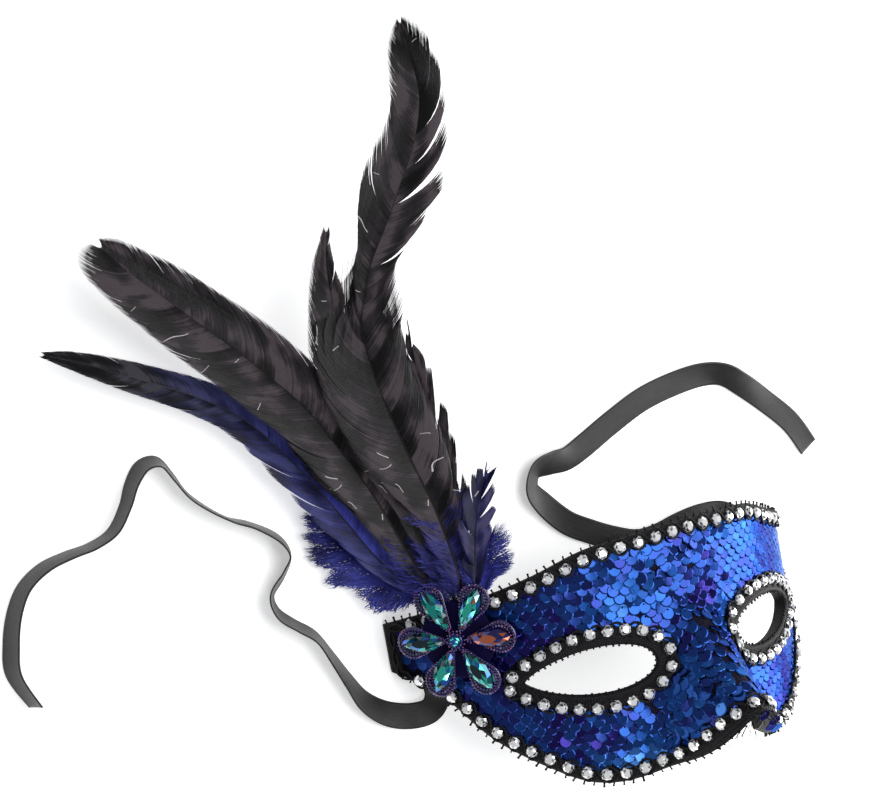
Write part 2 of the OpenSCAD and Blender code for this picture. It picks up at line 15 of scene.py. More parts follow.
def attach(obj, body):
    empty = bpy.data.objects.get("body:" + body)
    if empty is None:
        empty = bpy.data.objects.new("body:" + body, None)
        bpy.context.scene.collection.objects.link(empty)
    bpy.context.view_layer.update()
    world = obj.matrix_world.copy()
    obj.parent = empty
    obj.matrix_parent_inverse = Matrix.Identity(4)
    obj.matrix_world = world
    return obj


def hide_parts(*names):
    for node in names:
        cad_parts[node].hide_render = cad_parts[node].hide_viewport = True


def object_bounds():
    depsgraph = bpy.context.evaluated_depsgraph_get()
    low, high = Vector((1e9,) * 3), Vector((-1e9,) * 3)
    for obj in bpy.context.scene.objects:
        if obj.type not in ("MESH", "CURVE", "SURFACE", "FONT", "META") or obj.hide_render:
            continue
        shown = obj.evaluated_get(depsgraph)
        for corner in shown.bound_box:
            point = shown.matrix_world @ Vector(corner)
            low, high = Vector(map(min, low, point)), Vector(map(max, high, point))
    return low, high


bl_info = {
    "name": "Masquerade mask",
    "version": (1, 0, 0),
    "blender": (4, 5, 0),
    "location": "View3D > Sidebar > Mask",
    "description": "Makes the sequins, braid, rhinestones, flower, plume and ribbons of a half-face mask",
    "category": "Add Mesh",
}

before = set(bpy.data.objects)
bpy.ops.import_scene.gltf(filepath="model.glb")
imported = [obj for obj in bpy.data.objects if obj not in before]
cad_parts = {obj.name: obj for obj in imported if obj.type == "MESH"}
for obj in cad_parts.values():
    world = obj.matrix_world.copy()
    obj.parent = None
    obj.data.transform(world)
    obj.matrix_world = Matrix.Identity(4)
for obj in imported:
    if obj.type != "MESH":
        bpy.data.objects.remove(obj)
CAD_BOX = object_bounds()
BODY = "root"
MM = 0.001

# ---- the face's own sizes, the same as the CAD part's ----

FRONT_R = 0.078
FRONT_TURN = math.radians(28)
CHEEK_R = 0.099
TEMPLE_TURN = math.radians(60)
HALF_SPAN = 0.1125
NOSE_H = 0.0224
NOSE_W = 0.0115
NOSE_TOP_Y = 0.022
NOSE_RUN = 0.035
NOSE_LINE_FROM = 1.2
NOSE_LINE_SLOPE = 1.6
BROW_H = 0.0475
CHEEK_H = 0.0405
# [share of the half span, millimetres below the brow's middle or above the cheek's lowest point]
BROW_FALLS = [[0, 0], [0.17, 1], [0.325, 3], [0.485, 9], [0.645, 14], [0.815, 17.5], [1, 21.5]]
CHEEK_RISES = [
    [0, 17.5], [0.12, 4.5], [0.262, 0], [0.41, 1.5], [0.55, 10], [0.70, 22], [0.85, 39.5], [1, 48.5]
]
EYE_S = 0.0403
EYE_HALF_L = 0.0239
EYE_UP = 0.0111
EYE_DOWN = 0.0093
EYE_TAPER = 0.49
NEAR_NOSE = 0.5

# Levels of the layers above the inner surface
SHELL_LEVEL = 0.0005
CLOTH_LEVEL = 0.0021
SEQUIN_LEVEL = 0.0033
BRAID_TOP = 0.0046
STONE_LEVEL = 0.0047

SEQUIN_TO_STONES = 0.0012
SEQUIN_TO_EYE = 0.0068

# Stone rows
STONE_PITCH = 0.007
EDGE_STONE_IN = 0.0034
EYE_STONE_OUT = 0.0056
EYE_STONES = 22
BROW_FIRST = 0.0093
CHEEK_FIRST = 0.0081
EYE_FIRST = 0.0021

# Flower and quills
FLOWER_S = -0.0814
FLOWER_Y = 0.0202
FLOWER_LIFT = 0.00955
PETAL_TURNS = [0, 56, 118, 179, 238, 300]
PETAL_REACH = 0.0228
PETAL_TIP_R = 0.0058
PETAL_ROOT_R = 0.001
PETAL_ROOT_AT = 0.0046
QUILL_LEVEL = 0.00744
QUILL_PITCH = 0.0019
QUILLS = 9
QUILL_FAN = 1.4

# Ribbon patches inside the temples
PATCH_S = HALF_SPAN - 0.0095
PATCH_Y = 0.016
PATCH_L = 0.014
PATCH_W = 0.012
PATCH_T = 0.0008

FRONT_S = FRONT_R * FRONT_TURN
CHEEK_S = FRONT_S + CHEEK_R * (TEMPLE_TURN - FRONT_TURN)


def unit(v):
    """Vectors of length 1 along the last axis."""
    v = np.asarray(v, float)
    return v / np.maximum(np.linalg.norm(v, axis=-1, keepdims=True), 1e-12)


def mix(a, b, t):
    return a + (b - a) * t


# ---- the face as a surface: s along it from the mid-plane, y up it ----


def wrap_angle(a):
    return np.where(
        a < FRONT_S, a / FRONT_R,
        np.where(a < CHEEK_S, FRONT_TURN + (a - FRONT_S) / CHEEK_R, TEMPLE_TURN),
    )


def wrap_x(a):
    t = wrap_angle(a)
    cheek = FRONT_R * np.sin(FRONT_TURN) + CHEEK_R * (np.sin(t) - np.sin(FRONT_TURN))
    return np.where(a < FRONT_S, FRONT_R * np.sin(t), cheek + np.maximum(0, a - CHEEK_S) * np.cos(t))


def wrap_drop(a):
    t = wrap_angle(a)
    cheek = FRONT_R * (1 - np.cos(FRONT_TURN)) + CHEEK_R * (np.cos(FRONT_TURN) - np.cos(t))
    return np.where(a < FRONT_S, FRONT_R * (1 - np.cos(t)), cheek + np.maximum(0, a - CHEEK_S) * np.sin(t))


FACE_TOP_Z = float(wrap_drop(np.array(HALF_SPAN)))


def nose_rise(s, y):
    q = np.maximum(0, (NOSE_TOP_Y - y) / NOSE_RUN)
    curve = np.minimum(q, NOSE_LINE_FROM)
    ramp = curve**1.5 + np.maximum(0, q - NOSE_LINE_FROM) * NOSE_LINE_SLOPE
    w = NOSE_W * (0.75 + 0.25 * curve)
    return NOSE_H * np.exp(-((s / w) ** 2)) * ramp


def base_point(s, y):
    s, y = np.broadcast_arrays(np.asarray(s, float), np.asarray(y, float))
    a = np.abs(s)
    return np.stack([np.sign(s) * wrap_x(a), y, FACE_TOP_Z - wrap_drop(a) + nose_rise(s, y)], axis=-1)


def face_normal(s, y):
    e = 0.0002
    return unit(np.cross(base_point(s + e, y) - base_point(s - e, y), base_point(s, y + e) - base_point(s, y - e)))


def face_point(s, y, level):
    """A point at a level above the inner surface; the temple ends of every layer lie in one plane."""
    s, y, level = np.broadcast_arrays(*(np.asarray(v, float) for v in (s, y, level)))
    share = np.minimum(1, np.abs(s) / HALF_SPAN)
    ended = s + np.sign(s) * level / math.tan(TEMPLE_TURN) * share**8
    return base_point(ended, y) + level[..., None] * face_normal(ended, y)


def face_frame(s, y):
    """Normal, the way along s and the way up y, each of length 1."""
    e = 0.0002
    normal = face_normal(s, y)
    along = unit(base_point(s + e, y) - base_point(s - e, y))
    return normal, along, unit(np.cross(normal, along))


# ---- outline and eye holes, as (s, y) ----


def line_y(line, share):
    """Smooth height of an edge line at a share of the half span."""
    x, h = np.array(line, float).T
    m = np.empty_like(h)
    m[1:-1] = (h[2:] - h[:-2]) / (x[2:] - x[:-2])
    m[0], m[-1] = 0, (h[-1] - h[-2]) / (x[-1] - x[-2])
    share = np.asarray(share, float)
    i = np.clip(np.searchsorted(x, share, side="right") - 1, 0, len(x) - 2)
    w = x[i + 1] - x[i]
    t = (share - x[i]) / w
    return (
        (2 * t**3 - 3 * t**2 + 1) * h[i] + (t**3 - 2 * t**2 + t) * w * m[i]
        + (3 * t**2 - 2 * t**3) * h[i + 1] + (t**3 - t**2) * w * m[i + 1]
    )


BROW_LINE = [(x, BROW_H - fall * MM) for x, fall in BROW_FALLS]
CHEEK_LINE = [(x, rise * MM - CHEEK_H) for x, rise in CHEEK_RISES]


def column_share(t):
    return t * mix(NEAR_NOSE, 1, t)


def half_outline(detail):
    """The right half's outline, anticlockwise from the mid-line, and its first and last point on the free edge."""
    middle, brow, temple, cheek = 5 * detail, 22 * detail, 4 * detail, 24 * detail
    top, low = line_y(BROW_LINE, 0), line_y(CHEEK_LINE, 0)
    ends = np.array([[HALF_SPAN, line_y(BROW_LINE, 1)], [HALF_SPAN, line_y(CHEEK_LINE, 1)]])
    up = column_share(np.arange(brow) / brow)
    down = column_share(1 - np.arange(cheek) / cheek)
    points = np.concatenate([
        np.stack([np.zeros(middle), top * np.arange(middle) / middle], axis=1),
        np.stack([up * HALF_SPAN, line_y(BROW_LINE, up)], axis=1),
        mix(ends[0], ends[1], (np.arange(temple) / temple)[:, None]),
        np.stack([down * HALF_SPAN, line_y(CHEEK_LINE, down)], axis=1),
        np.stack([np.zeros(middle), low * (1 - np.arange(middle) / middle)], axis=1),
    ])
    return points, middle, len(points) - middle


def eye_at(turn, out=0.0):
    """Point of the right eye hole's edge at an angle from its nose end, moved out by a distance."""
    turn = np.asarray(turn, float)
    reach = np.where(np.sin(turn) > 0, EYE_UP, EYE_DOWN) + out
    y = reach * np.sin(turn) * np.abs(np.cos(turn / 2)) ** EYE_TAPER
    return np.stack([EYE_S - (EYE_HALF_L + out) * np.cos(turn), y], axis=-1)


def edge_in(points, eye, first, last, inset):
    """The outline moved in by a distance."""
    n = len(points)
    before, after = np.roll(points, 1, axis=0), np.roll(points, -1, axis=0)
    before[first], after[first] = points[first + 1] * [-1, 1], points[first + 1]
    before[last], after[last] = points[last - 1], points[last - 1] * [-1, 1]
    t = unit(after - before)
    normal = np.stack([t[:, 1], -t[:, 0]], axis=1)
    way = unit(eye - points)
    index = np.arange(n)
    way[(index <= first) | (index >= last)] = normal[(index <= first) | (index >= last)]
    return points + way * inset / np.maximum(0.8, (way * normal).sum(1))[:, None]


# ---- mesh helpers ----


def make_piece(name, points, faces, material=None, uv=None, smooth=True, values=None, outward=True):
    """A mesh object at the origin. uv is one pair for each point, values is {attribute: one number for each point}."""
    points = np.asarray(points, float).reshape(-1, 3)
    used = np.unique(np.concatenate([np.asarray(f, int) for f in faces]))
    place = np.full(len(points), -1)
    place[used] = np.arange(len(used))
    mesh = bpy.data.meshes.new(name)
    mesh.from_pydata(points[used].tolist(), [], [place[list(f)].tolist() for f in faces])
    if uv is not None:
        layer = mesh.uv_layers.new(name="UVMap")
        corner = np.empty(len(mesh.loops), int)
        mesh.loops.foreach_get("vertex_index", corner)
        layer.data.foreach_set("uv", np.asarray(uv, float)[used][corner].astype(np.float32).ravel())
    for key, value in (values or {}).items():
        attribute = mesh.attributes.new(key, "FLOAT", "POINT")
        attribute.data.foreach_set("value", np.asarray(value, float)[used].astype(np.float32))
    if outward:
        solid = bmesh.new()
        solid.from_mesh(mesh)
        bmesh.ops.recalc_face_normals(solid, faces=solid.faces)
        solid.to_mesh(mesh)
        solid.free()
    mesh.polygons.foreach_set("use_smooth", [smooth] * len(mesh.polygons))
    if material:
        mesh.materials.append(material)
    piece = bpy.data.objects.new(name, mesh)
    bpy.context.scene.collection.objects.link(piece)
    return piece


def strip_faces(rings, around, closed_rings=True, closed_path=False, first=0):
    """Quads between rings of points that stand one after another."""
    i = np.arange(rings if closed_path else rings - 1)[:, None]
    j = np.arange(around if closed_rings else around - 1)[None, :]
    nxt, side = (i + 1) % rings, (j + 1) % around
    here, there = i * around, nxt * around
    quads = np.stack(np.broadcast_arrays(here + j, here + side, there + side, there + j), -1)
    return (quads.reshape(-1, 4) + first).tolist()


def swept(rings, closed=False, first=0):
    """Faces of a solid swept through rings, an array of (ring, point, xyz)."""
    n, m = rings.shape[:2]
    faces = strip_faces(n, m, closed_path=closed, first=first)
    if not closed:
        faces.append([first + j for j in range(m)])
        faces.append([first + (n - 1) * m + j for j in reversed(range(m))])
    return faces


def lengths(points):
    """Distance along a line of points, from its start."""
    return np.concatenate([[0], np.cumsum(np.linalg.norm(np.diff(points, axis=0), axis=1))])


def at_length(points, sums, at):
    """Values of a line of points at distances along it."""
    return np.stack([np.interp(at, sums, points[:, k]) for k in range(points.shape[1])], axis=-1)


def closed_line(points):
    return np.concatenate([points, points[:1]])


def circle(count, step=0.0):
    """Angles at an even step round a circle."""
    return 2 * np.pi * (np.arange(count) + step) / count


def level_ring(radius, angles, height):
    """A ring of points at one height."""
    return np.column_stack([radius * np.cos(angles), radius * np.sin(angles), np.full(len(angles), height)])


def finish_piece(piece, slot, *nodes):
    """Rides the piece on the mask and hides the CAD nodes that it stands for; the slot is not used."""
    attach(piece, BODY)
    if nodes:
        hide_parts(*nodes)
    return piece


# ---- node trees ----


def socket(sockets, name):
    """The socket of that name which is in use."""
    return next(s for s in sockets if s.name == name and s.enabled)


class Wiring:
    """Adds nodes to a tree. A value that is a socket is linked, and any other value is set."""

    def __init__(self, tree):
        self.tree, self.nodes, self.link = tree, tree.nodes, tree.links.new

    def give(self, place, value):
        if isinstance(value, bpy.types.NodeSocket):
            self.link(value, place)
        else:
            place.default_value = value

    def add(self, kind, *values, **named):
        """A node with its first inputs in order, and its properties and inputs by name, with _ for a space."""
        node = self.nodes.new(kind)
        for label in [label for label in named if hasattr(node, label)]:
            setattr(node, label, named.pop(label))
        for place, value in zip(node.inputs, values):
            self.give(place, value)
        for label, value in named.items():
            self.give(socket(node.inputs, label.replace("_", " ")), value)
        return node

    def out(self, **named):
        """Ends a group with its outputs, and returns its tree."""
        self.add("NodeGroupOutput", **named)
        return self.tree

    def math(self, operation, *values):
        return self.add("ShaderNodeMath", *values, operation=operation).outputs[0]

    def noise(self, vector, scale, detail, **more):
        return self.add("ShaderNodeTexNoise", Vector=vector, Scale=scale, Detail=detail, **more).outputs["Fac"]

    def attribute(self, name):
        return self.add("ShaderNodeAttribute", attribute_name=name).outputs["Fac"]

    def group(self, tree, coordinates, **named):
        vector = self.add("ShaderNodeTexCoord").outputs[coordinates]
        return self.add("ShaderNodeGroup", node_tree=tree, Vector=vector, **named).outputs

    def blend(self, factor, a, b):
        return socket(self.add("ShaderNodeMix", data_type="RGBA", Factor=factor, A=a, B=b).outputs, "Result")

    def ramp(self, factor, *stops, interpolation="LINEAR"):
        """A colour ramp fed by a value; stops are (place, colour)."""
        node = self.add("ShaderNodeValToRGB", factor)
        node.color_ramp.interpolation = interpolation
        elements = node.color_ramp.elements
        while len(elements) < len(stops):
            elements.new(1.0)
        for element, (place, color) in zip(elements, stops):
            element.position = place
            element.color = (*color, 1)
        return node.outputs["Color"]


def once(make):
    """Keeps what a function makes, so each material and tree is built once."""
    kept = {}

    def get():
        if "it" not in kept:
            kept["it"] = make()
        return kept["it"]

    return get


@once
def seating_tree():
    """Seats a piece on each point: Z along 'up', X along 'along', tilted, wobbled by a seed and scaled by 'size'."""
    tree = bpy.data.node_groups.new("Seat pieces", "GeometryNodeTree")
    for name, kind in (
        ("Places", "Geometry"), ("Piece", "Object"), ("Finish", "Material"), ("Tilt", "Float"), ("Wobble", "Float"),
        ("Seed", "Int"),
    ):
        tree.interface.new_socket(name, in_out="INPUT", socket_type="NodeSocket" + kind)
    tree.interface.new_socket("Pieces", in_out="OUTPUT", socket_type="NodeSocketGeometry")
    wires = Wiring(tree)
    given = wires.add("NodeGroupInput").outputs

    def stored(name, kind="FLOAT"):
        return socket(wires.add("GeometryNodeInputNamedAttribute", data_type=kind, Name=name).outputs, "Attribute")

    axes = wires.add(
        "FunctionNodeAxesToRotation", primary_axis="Z", secondary_axis="X",
        Primary_Axis=stored("up", "FLOAT_VECTOR"), Secondary_Axis=stored("along", "FLOAT_VECTOR"),
    )
    chance = wires.add(
        "FunctionNodeRandomValue", data_type="FLOAT_VECTOR", Min=(-1, -1, -1), Max=(1, 1, 1), Seed=given["Seed"]
    )
    amount = wires.math("MULTIPLY", given["Wobble"], stored("loose"))
    wobble = wires.add("ShaderNodeVectorMath", socket(chance.outputs, "Value"), operation="SCALE", Scale=amount)
    lean = wires.add("ShaderNodeCombineXYZ", given["Tilt"])
    total = wires.add("ShaderNodeVectorMath", wobble.outputs[0], lean.outputs[0])
    turn = wires.add("FunctionNodeEulerToRotation", total.outputs[0])
    turned = wires.add("FunctionNodeRotateRotation", axes.outputs[0], turn.outputs[0], rotation_space="LOCAL")
    source = wires.add("GeometryNodeObjectInfo", Object=given["Piece"])
    seat = wires.add(
        "GeometryNodeInstanceOnPoints", Points=given["Places"], Instance=source.outputs["Geometry"],
        Rotation=turned.outputs[0], Scale=stored("size"),
    )
    tone = wires.add("FunctionNodeRandomValue", data_type="FLOAT", Seed=given["Seed"])
    store = wires.add(
        "GeometryNodeStoreNamedAttribute", domain="INSTANCE", data_type="FLOAT", Name="tone",
        Geometry=seat.outputs["Instances"], Value=socket(tone.outputs, "Value"),
    )
    real = wires.add("GeometryNodeRealizeInstances", Geometry=store.outputs["Geometry"])
    finish = wires.add("GeometryNodeSetMaterial", Geometry=real.outputs["Geometry"], Material=given["Finish"])
    return wires.out(Pieces=finish.outputs["Geometry"])


def seat_pieces(
    name, template, material, places, up, along, tilt=0.0, wobble=0.0, seed=1, size=1.0, loose=1.0, shade=0.0
):
    """Seats the template on every place and returns the result as one plain mesh."""
    n = len(places)
    mesh = bpy.data.meshes.new(name + "_places")
    mesh.from_pydata(np.asarray(places, float).tolist(), [], [])
    for key, value in (("up", up), ("along", along)):
        attribute = mesh.attributes.new(key, "FLOAT_VECTOR", "POINT")
        attribute.data.foreach_set("vector", np.broadcast_to(value, (n, 3)).astype(np.float32).ravel())
    # the third value is painted light and shade, which the sequins' film shows
    for key, value in (("size", size), ("loose", loose), ("shade", shade)):
        attribute = mesh.attributes.new(key, "FLOAT", "POINT")
        attribute.data.foreach_set("value", np.broadcast_to(value, n).astype(np.float32).ravel())
    holder = bpy.data.objects.new(name, mesh)
    bpy.context.scene.collection.objects.link(holder)
    modifier = holder.modifiers.new("Seat pieces", "NODES")
    modifier.node_group = seating_tree()
    given = {"Piece": template, "Finish": material, "Tilt": float(tilt), "Wobble": float(wobble), "Seed": int(seed)}
    for item in modifier.node_group.interface.items_tree:
        if item.in_out == "INPUT" and item.name in given:
            modifier[item.identifier] = given[item.name]
    bpy.context.view_layer.update()
    graph = bpy.context.evaluated_depsgraph_get()
    plain = bpy.data.meshes.new_from_object(holder.evaluated_get(graph), depsgraph=graph)
    plain.name = name
    holder.modifiers.clear()
    holder.data = plain
    bpy.data.meshes.remove(mesh)
    bpy.data.meshes.remove(template.data)
    return holder


def small_part(name, points, faces, smooth=False, outward=True):
    """A template that is seated many times and isn't shown itself."""
    part = make_piece(name, points, faces, smooth=smooth, outward=outward)
    bpy.context.scene.collection.objects.unlink(part)
    return part


# ---- materials ----


class Finish(Wiring):
    """A material whose plain values stand on the shader's own sockets."""

    def __init__(self, name, color, roughness, **more):
        self.material = bpy.data.materials.new(name)
        self.material.use_nodes = True
        super().__init__(self.material.node_tree)
        self.set(Base_Color=(*color, 1), Roughness=roughness, **more)

    def set(self, **named):
        for label, value in named.items():
            self.give(self.nodes["Principled BSDF"].inputs[label.replace("_", " ")], value)

    def place(self, coordinates="Object"):
        return self.add("ShaderNodeTexCoord").outputs[coordinates]

    def bump(self, height, strength, distance):
        node = self.add("ShaderNodeBump", Height=height, Strength=strength, Distance=distance)
        self.set(Normal=node.outputs["Normal"])
        return self.material


def shader_group(name, numbers, outputs):
    """A shader node group of a vector and numbers: its wiring and its given sockets."""
    tree = bpy.data.node_groups.new(name, "ShaderNodeTree")
    tree.interface.new_socket("Vector", in_out="INPUT", socket_type="NodeSocketVector")
    for label, value in numbers.items():
        tree.interface.new_socket(label, in_out="INPUT", socket_type="NodeSocketFloat").default_value = value
    for label in outputs:
        tree.interface.new_socket(label, in_out="OUTPUT", socket_type="NodeSocketFloat")
    wires = Wiring(tree)
    return wires, wires.add("NodeGroupInput").outputs


@once
def fibre_group():
    """Fuzz of short fibres: a height and a patchy tone."""
    wires, given = shader_group("Fibre fuzz", {"Fibre Scale": 2600.0, "Patch Scale": 120.0}, ("Height", "Tone"))
    fine = wires.noise(given["Vector"], given["Fibre Scale"], 6.0, Roughness=0.7, Distortion=1.2)
    patch = wires.noise(given["Vector"], given["Patch Scale"], 4.0)
    tone = wires.math("MULTIPLY_ADD", fine, 0.5, wires.math("MULTIPLY", patch, 0.5))
    return wires.out(Height=fine, Tone=tone)


@once
def weave_group():
    """Plain woven threads on a UV map in metres."""
    wires, given = shader_group("Woven threads", {"Thread Pitch": 0.0006, "Unevenness": 0.3}, ("Height",))
    warp = wires.noise(given["Vector"], 900.0, 2.0)
    part = wires.add("ShaderNodeSeparateXYZ", given["Vector"]).outputs
    waves = []
    for axis in ("X", "Y"):
        turns = wires.math("DIVIDE", part[axis], given["Thread Pitch"])
        moved = wires.math("MULTIPLY_ADD", warp, given["Unevenness"], turns)
        waves.append(wires.math("SINE", wires.math("MULTIPLY", moved, math.pi)))
    return wires.out(Height=wires.math("ABSOLUTE", wires.math("MULTIPLY", *waves)))


@once
def crease_glint_group():
    """Painted highlights: short pale glints along creases across a vane, on a UV map of (along the shaft, out from it)
    in metres.
    """
    wires, given = shader_group("Vane crease glints", {"Spacing": 0.011, "Width": 0.03, "Rarity": 1.0}, ("Creases",))
    vector = given["Vector"]
    along = wires.add("ShaderNodeSeparateXYZ", vector).outputs["X"]
    bent = wires.math("MULTIPLY_ADD", wires.noise(vector, 60.0, 1.0), 0.03, along)
    saw = wires.math("FRACT", wires.math("DIVIDE", bent, given["Spacing"]))
    line = wires.math("LESS_THAN", saw, given["Width"])
    patches = wires.math("MULTIPLY_ADD", wires.noise(vector, 24.0, 0.0), 0.9, wires.noise(vector, 170.0, 0.0))
    shown = wires.math("GREATER_THAN", patches, given["Rarity"])
    return wires.out(Creases=wires.math("MULTIPLY", line, shown))


def felt_finish(name, dark, light, sheen):
    """Soft short-haired felt."""
    felt = Finish(name, dark, 0.92, Sheen_Weight=sheen, Sheen_Roughness=0.5, Specular_IOR_Level=0.1)
    fuzz = felt.group(fibre_group(), "Object", Fibre_Scale=2400.0, Patch_Scale=140.0)
    felt.set(Base_Color=felt.ramp(fuzz["Tone"], (0.35, dark), (0.75, light)))
    return felt.bump(fuzz["Height"], 0.7, 0.0003)


@once
def black_felt():
    return felt_finish("Black felt", (0.002, 0.002, 0.0026), (0.01, 0.01, 0.011), 0.05)


@once
def navy_felt():
    return felt_finish("Navy felt", (0.002, 0.001, 0.016), (0.007, 0.004, 0.06), 0.02)


@once
def moulded_shell():
    """Dark moulded plastic with a little grain."""
    shell = Finish("Moulded shell", (0.02, 0.02, 0.022), 0.55)
    fuzz = shell.group(fibre_group(), "Object", Fibre_Scale=900.0, Patch_Scale=60.0)
    tone = shell.ramp(fuzz["Tone"], (0.3, (0.014, 0.014, 0.016)), (0.8, (0.035, 0.035, 0.04)))
    shell.set(Base_Color=tone)
    return shell.bump(fuzz["Height"], 0.3, 0.0002)


@once
def net_cloth():
    """The dark net that the sequins are sewn to."""
    net = Finish("Net under the sequins", (0.006, 0.005, 0.02), 0.8, Specular_IOR_Level=0.15)
    weave = net.group(weave_group(), "UV", Thread_Pitch=0.0008, Unevenness=0.5)["Height"]
    net.set(Base_Color=net.ramp(weave, (0.1, (0.001, 0.001, 0.006)), (0.9, (0.012, 0.009, 0.03))))
    return net.bump(weave, 0.8, 0.0003)


def sequin_film():
    """Tinted foil: darker and paler by patches and from sequin to sequin, with painted light and shade by region and on
    single sequins, up to a painted glint colour.
    """
    look = bpy.context.scene.mask_sequins
    deep, bright = np.array(look.deep_color), np.array(look.bright_color)
    film = Finish(
        "Sequin film", bright, 0.26, Metallic=0.9, Coat_Weight=0.12, Coat_Roughness=0.1,
        Specular_Tint=(0.25, 0.45, 0.95, 1),
    )
    place, tone = film.place(), film.attribute("tone")
    # the random patches are moved by each sequin's painted light and shade
    patch = film.math("ADD", film.noise(place, 26.0, 2.0), film.attribute("shade"))
    blend = film.math("MULTIPLY_ADD", tone, 0.35, patch)
    rough = film.add("ShaderNodeMapRange", Value=tone, To_Min=0.14, To_Max=0.32).outputs["Result"]
    # the palest stop, the glint colour, is a painted highlight
    stops = (0.42, deep), (0.62, mix(deep, bright, 0.55)), (0.85, bright), (1.0, look.glint_color)
    film.set(Base_Color=film.ramp(blend, *stops), Roughness=rough)
    return film.bump(film.noise(place, 900.0, 3.0), 0.15, 0.0001)


def thread_finish(name, dark, light, pitch, roughness):
    """Threads laid side by side, on a UV map in metres."""
    thread = Finish(name, dark, roughness, Sheen_Weight=0.03, Sheen_Roughness=0.4, Specular_IOR_Level=0.2)
    weave = thread.group(weave_group(), "UV", Thread_Pitch=pitch, Unevenness=0.4)["Height"]
    fuzz = thread.group(fibre_group(), "Object", Fibre_Scale=1800.0, Patch_Scale=200.0)["Tone"]
    thread.set(Base_Color=thread.ramp(thread.math("MULTIPLY", weave, fuzz), (0.05, dark), (0.6, light)))
    return thread.bump(weave, 0.8, 0.0003)


@once
def braid_thread():
    return thread_finish("Braid thread", (0.001, 0.001, 0.0014), (0.012, 0.012, 0.015), 0.0009, 0.5)


@once
def binding_tape():
    return thread_finish("Binding tape", (0.0015, 0.0015, 0.002), (0.014, 0.014, 0.016), 0.0007, 0.6)


@once
def cut_crystal():
    """Foil-backed clear stone: mirror-like facets, each painted with a reflection of its own from near black to white.
    """
    stone = Finish("Foiled crystal", (0.95, 0.95, 0.97), 0.09, Metallic=0.45, Coat_Weight=1.0, Coat_Roughness=0.02)
    flash = stone.ramp(stone.attribute("flash"), (0.0, (0.02, 0.02, 0.025)), (1.0, (0.98, 0.98, 0.98)))
    stone.set(Base_Color=flash)
    return stone.material


@once
def petal_film():
    """Glossy indigo plate with clouds of violet."""
    plate = Finish(
        "Petal plate", (0.008, 0.004, 0.06), 0.22, Coat_Weight=1.0, Coat_Roughness=0.06, Specular_IOR_Level=0.7
    )
    cloud = plate.noise(plate.place(), 190.0, 3.0)
    stops = (0.3, (0.003, 0.003, 0.03)), (0.55, (0.01, 0.005, 0.08)), (0.75, (0.03, 0.008, 0.1))
    plate.set(Base_Color=plate.ramp(cloud, *stops))
    return plate.bump(cloud, 0.2, 0.0005)


@once
def bead_glass():
    """Lustre glass, from indigo to plum."""
    glass = Finish(
        "Seed bead lustre", (0.08, 0.05, 0.35), 0.16, Metallic=0.55, Coat_Weight=1.0, Coat_Roughness=0.04
    )
    glass.set(Base_Color=glass.ramp(
        glass.attribute("tone"), (0.0, (0.006, 0.01, 0.1)), (0.5, (0.03, 0.015, 0.16)), (0.8, (0.14, 0.02, 0.16)),
        (1.0, (0.2, 0.16, 0.4)),
    ))
    return glass.material


@once
def jewel_glass():
    """Aurora-coated stones: each facet has a colour of its own, partly the coating's tint and partly painted
    reflection, with black facets and pale and orange painted glints.
    """
    jewel = Finish("Aurora jewel", (0.0, 0.3, 0.35), 0.08, Metallic=0.75, Coat_Weight=1.0, Coat_Roughness=0.02)
    jewel.set(Base_Color=jewel.ramp(
        jewel.attribute("flash"), (0.0, (0.001, 0.012, 0.02)), (0.16, (0.0, 0.12, 0.16)), (0.32, (0.0, 0.34, 0.3)),
        (0.46, (0.002, 0.1, 0.5)), (0.58, (0.02, 0.55, 0.42)), (0.68, (0.0, 0.02, 0.03)), (0.78, (0.3, 0.85, 0.9)),
        (0.84, (0.012, 0.01, 0.12)), (0.96, (0.6, 0.14, 0.05)), interpolation="CONSTANT",
    ))
    return jewel.material


def feather_finish(name, dark, light, rarity, deep, pale):
    """Vane and shaft of a feather; 'tone' differs from barb to barb, partly at random and partly as painted sheen
    streaks, and 'dye' turns it blue; pale painted glints lie along the creases.
    """
    plume = Finish(name, dark, 0.42, Specular_IOR_Level=0.25)
    tone = plume.attribute("tone")
    blend = plume.math("MULTIPLY_ADD", tone, 0.7, plume.noise(plume.place("UV"), 90.0, 3.0))
    between_stops = mix(np.array(dark), np.array(light), 0.3)
    # the light end is partly painted sheen, where a barb's tone is high
    plain = plume.ramp(blend, (0.6, dark), (0.85, between_stops), (1.0, light))
    dyed = plume.ramp(blend, (0.4, deep), (1.0, pale))
    color = plume.blend(plume.attribute("dye"), plain, dyed)
    crease_glints = plume.group(crease_glint_group(), "UV", Rarity=rarity)["Creases"]
    rough = plume.add("ShaderNodeMapRange", Value=tone, To_Min=0.34, To_Max=0.6).outputs["Result"]
    # pale painted glints along the creases, blended over the feather's colour
    plume.set(Base_Color=plume.blend(crease_glints, color, (0.5, 0.47, 0.47, 1)), Roughness=rough)
    return plume.material


@once
def black_plumage():
    return feather_finish(
        "Black coque", (0.0012, 0.0009, 0.0013), (0.06, 0.047, 0.056), 1.2, (0.002, 0.002, 0.05),
        (0.035, 0.04, 0.28),
    )


@once
def blue_plumage():
    return feather_finish(
        "Blue dyed down", (0.002, 0.002, 0.003), (0.04, 0.04, 0.05), 2.0, (0.006, 0.006, 0.08), (0.06, 0.07, 0.42)
    )


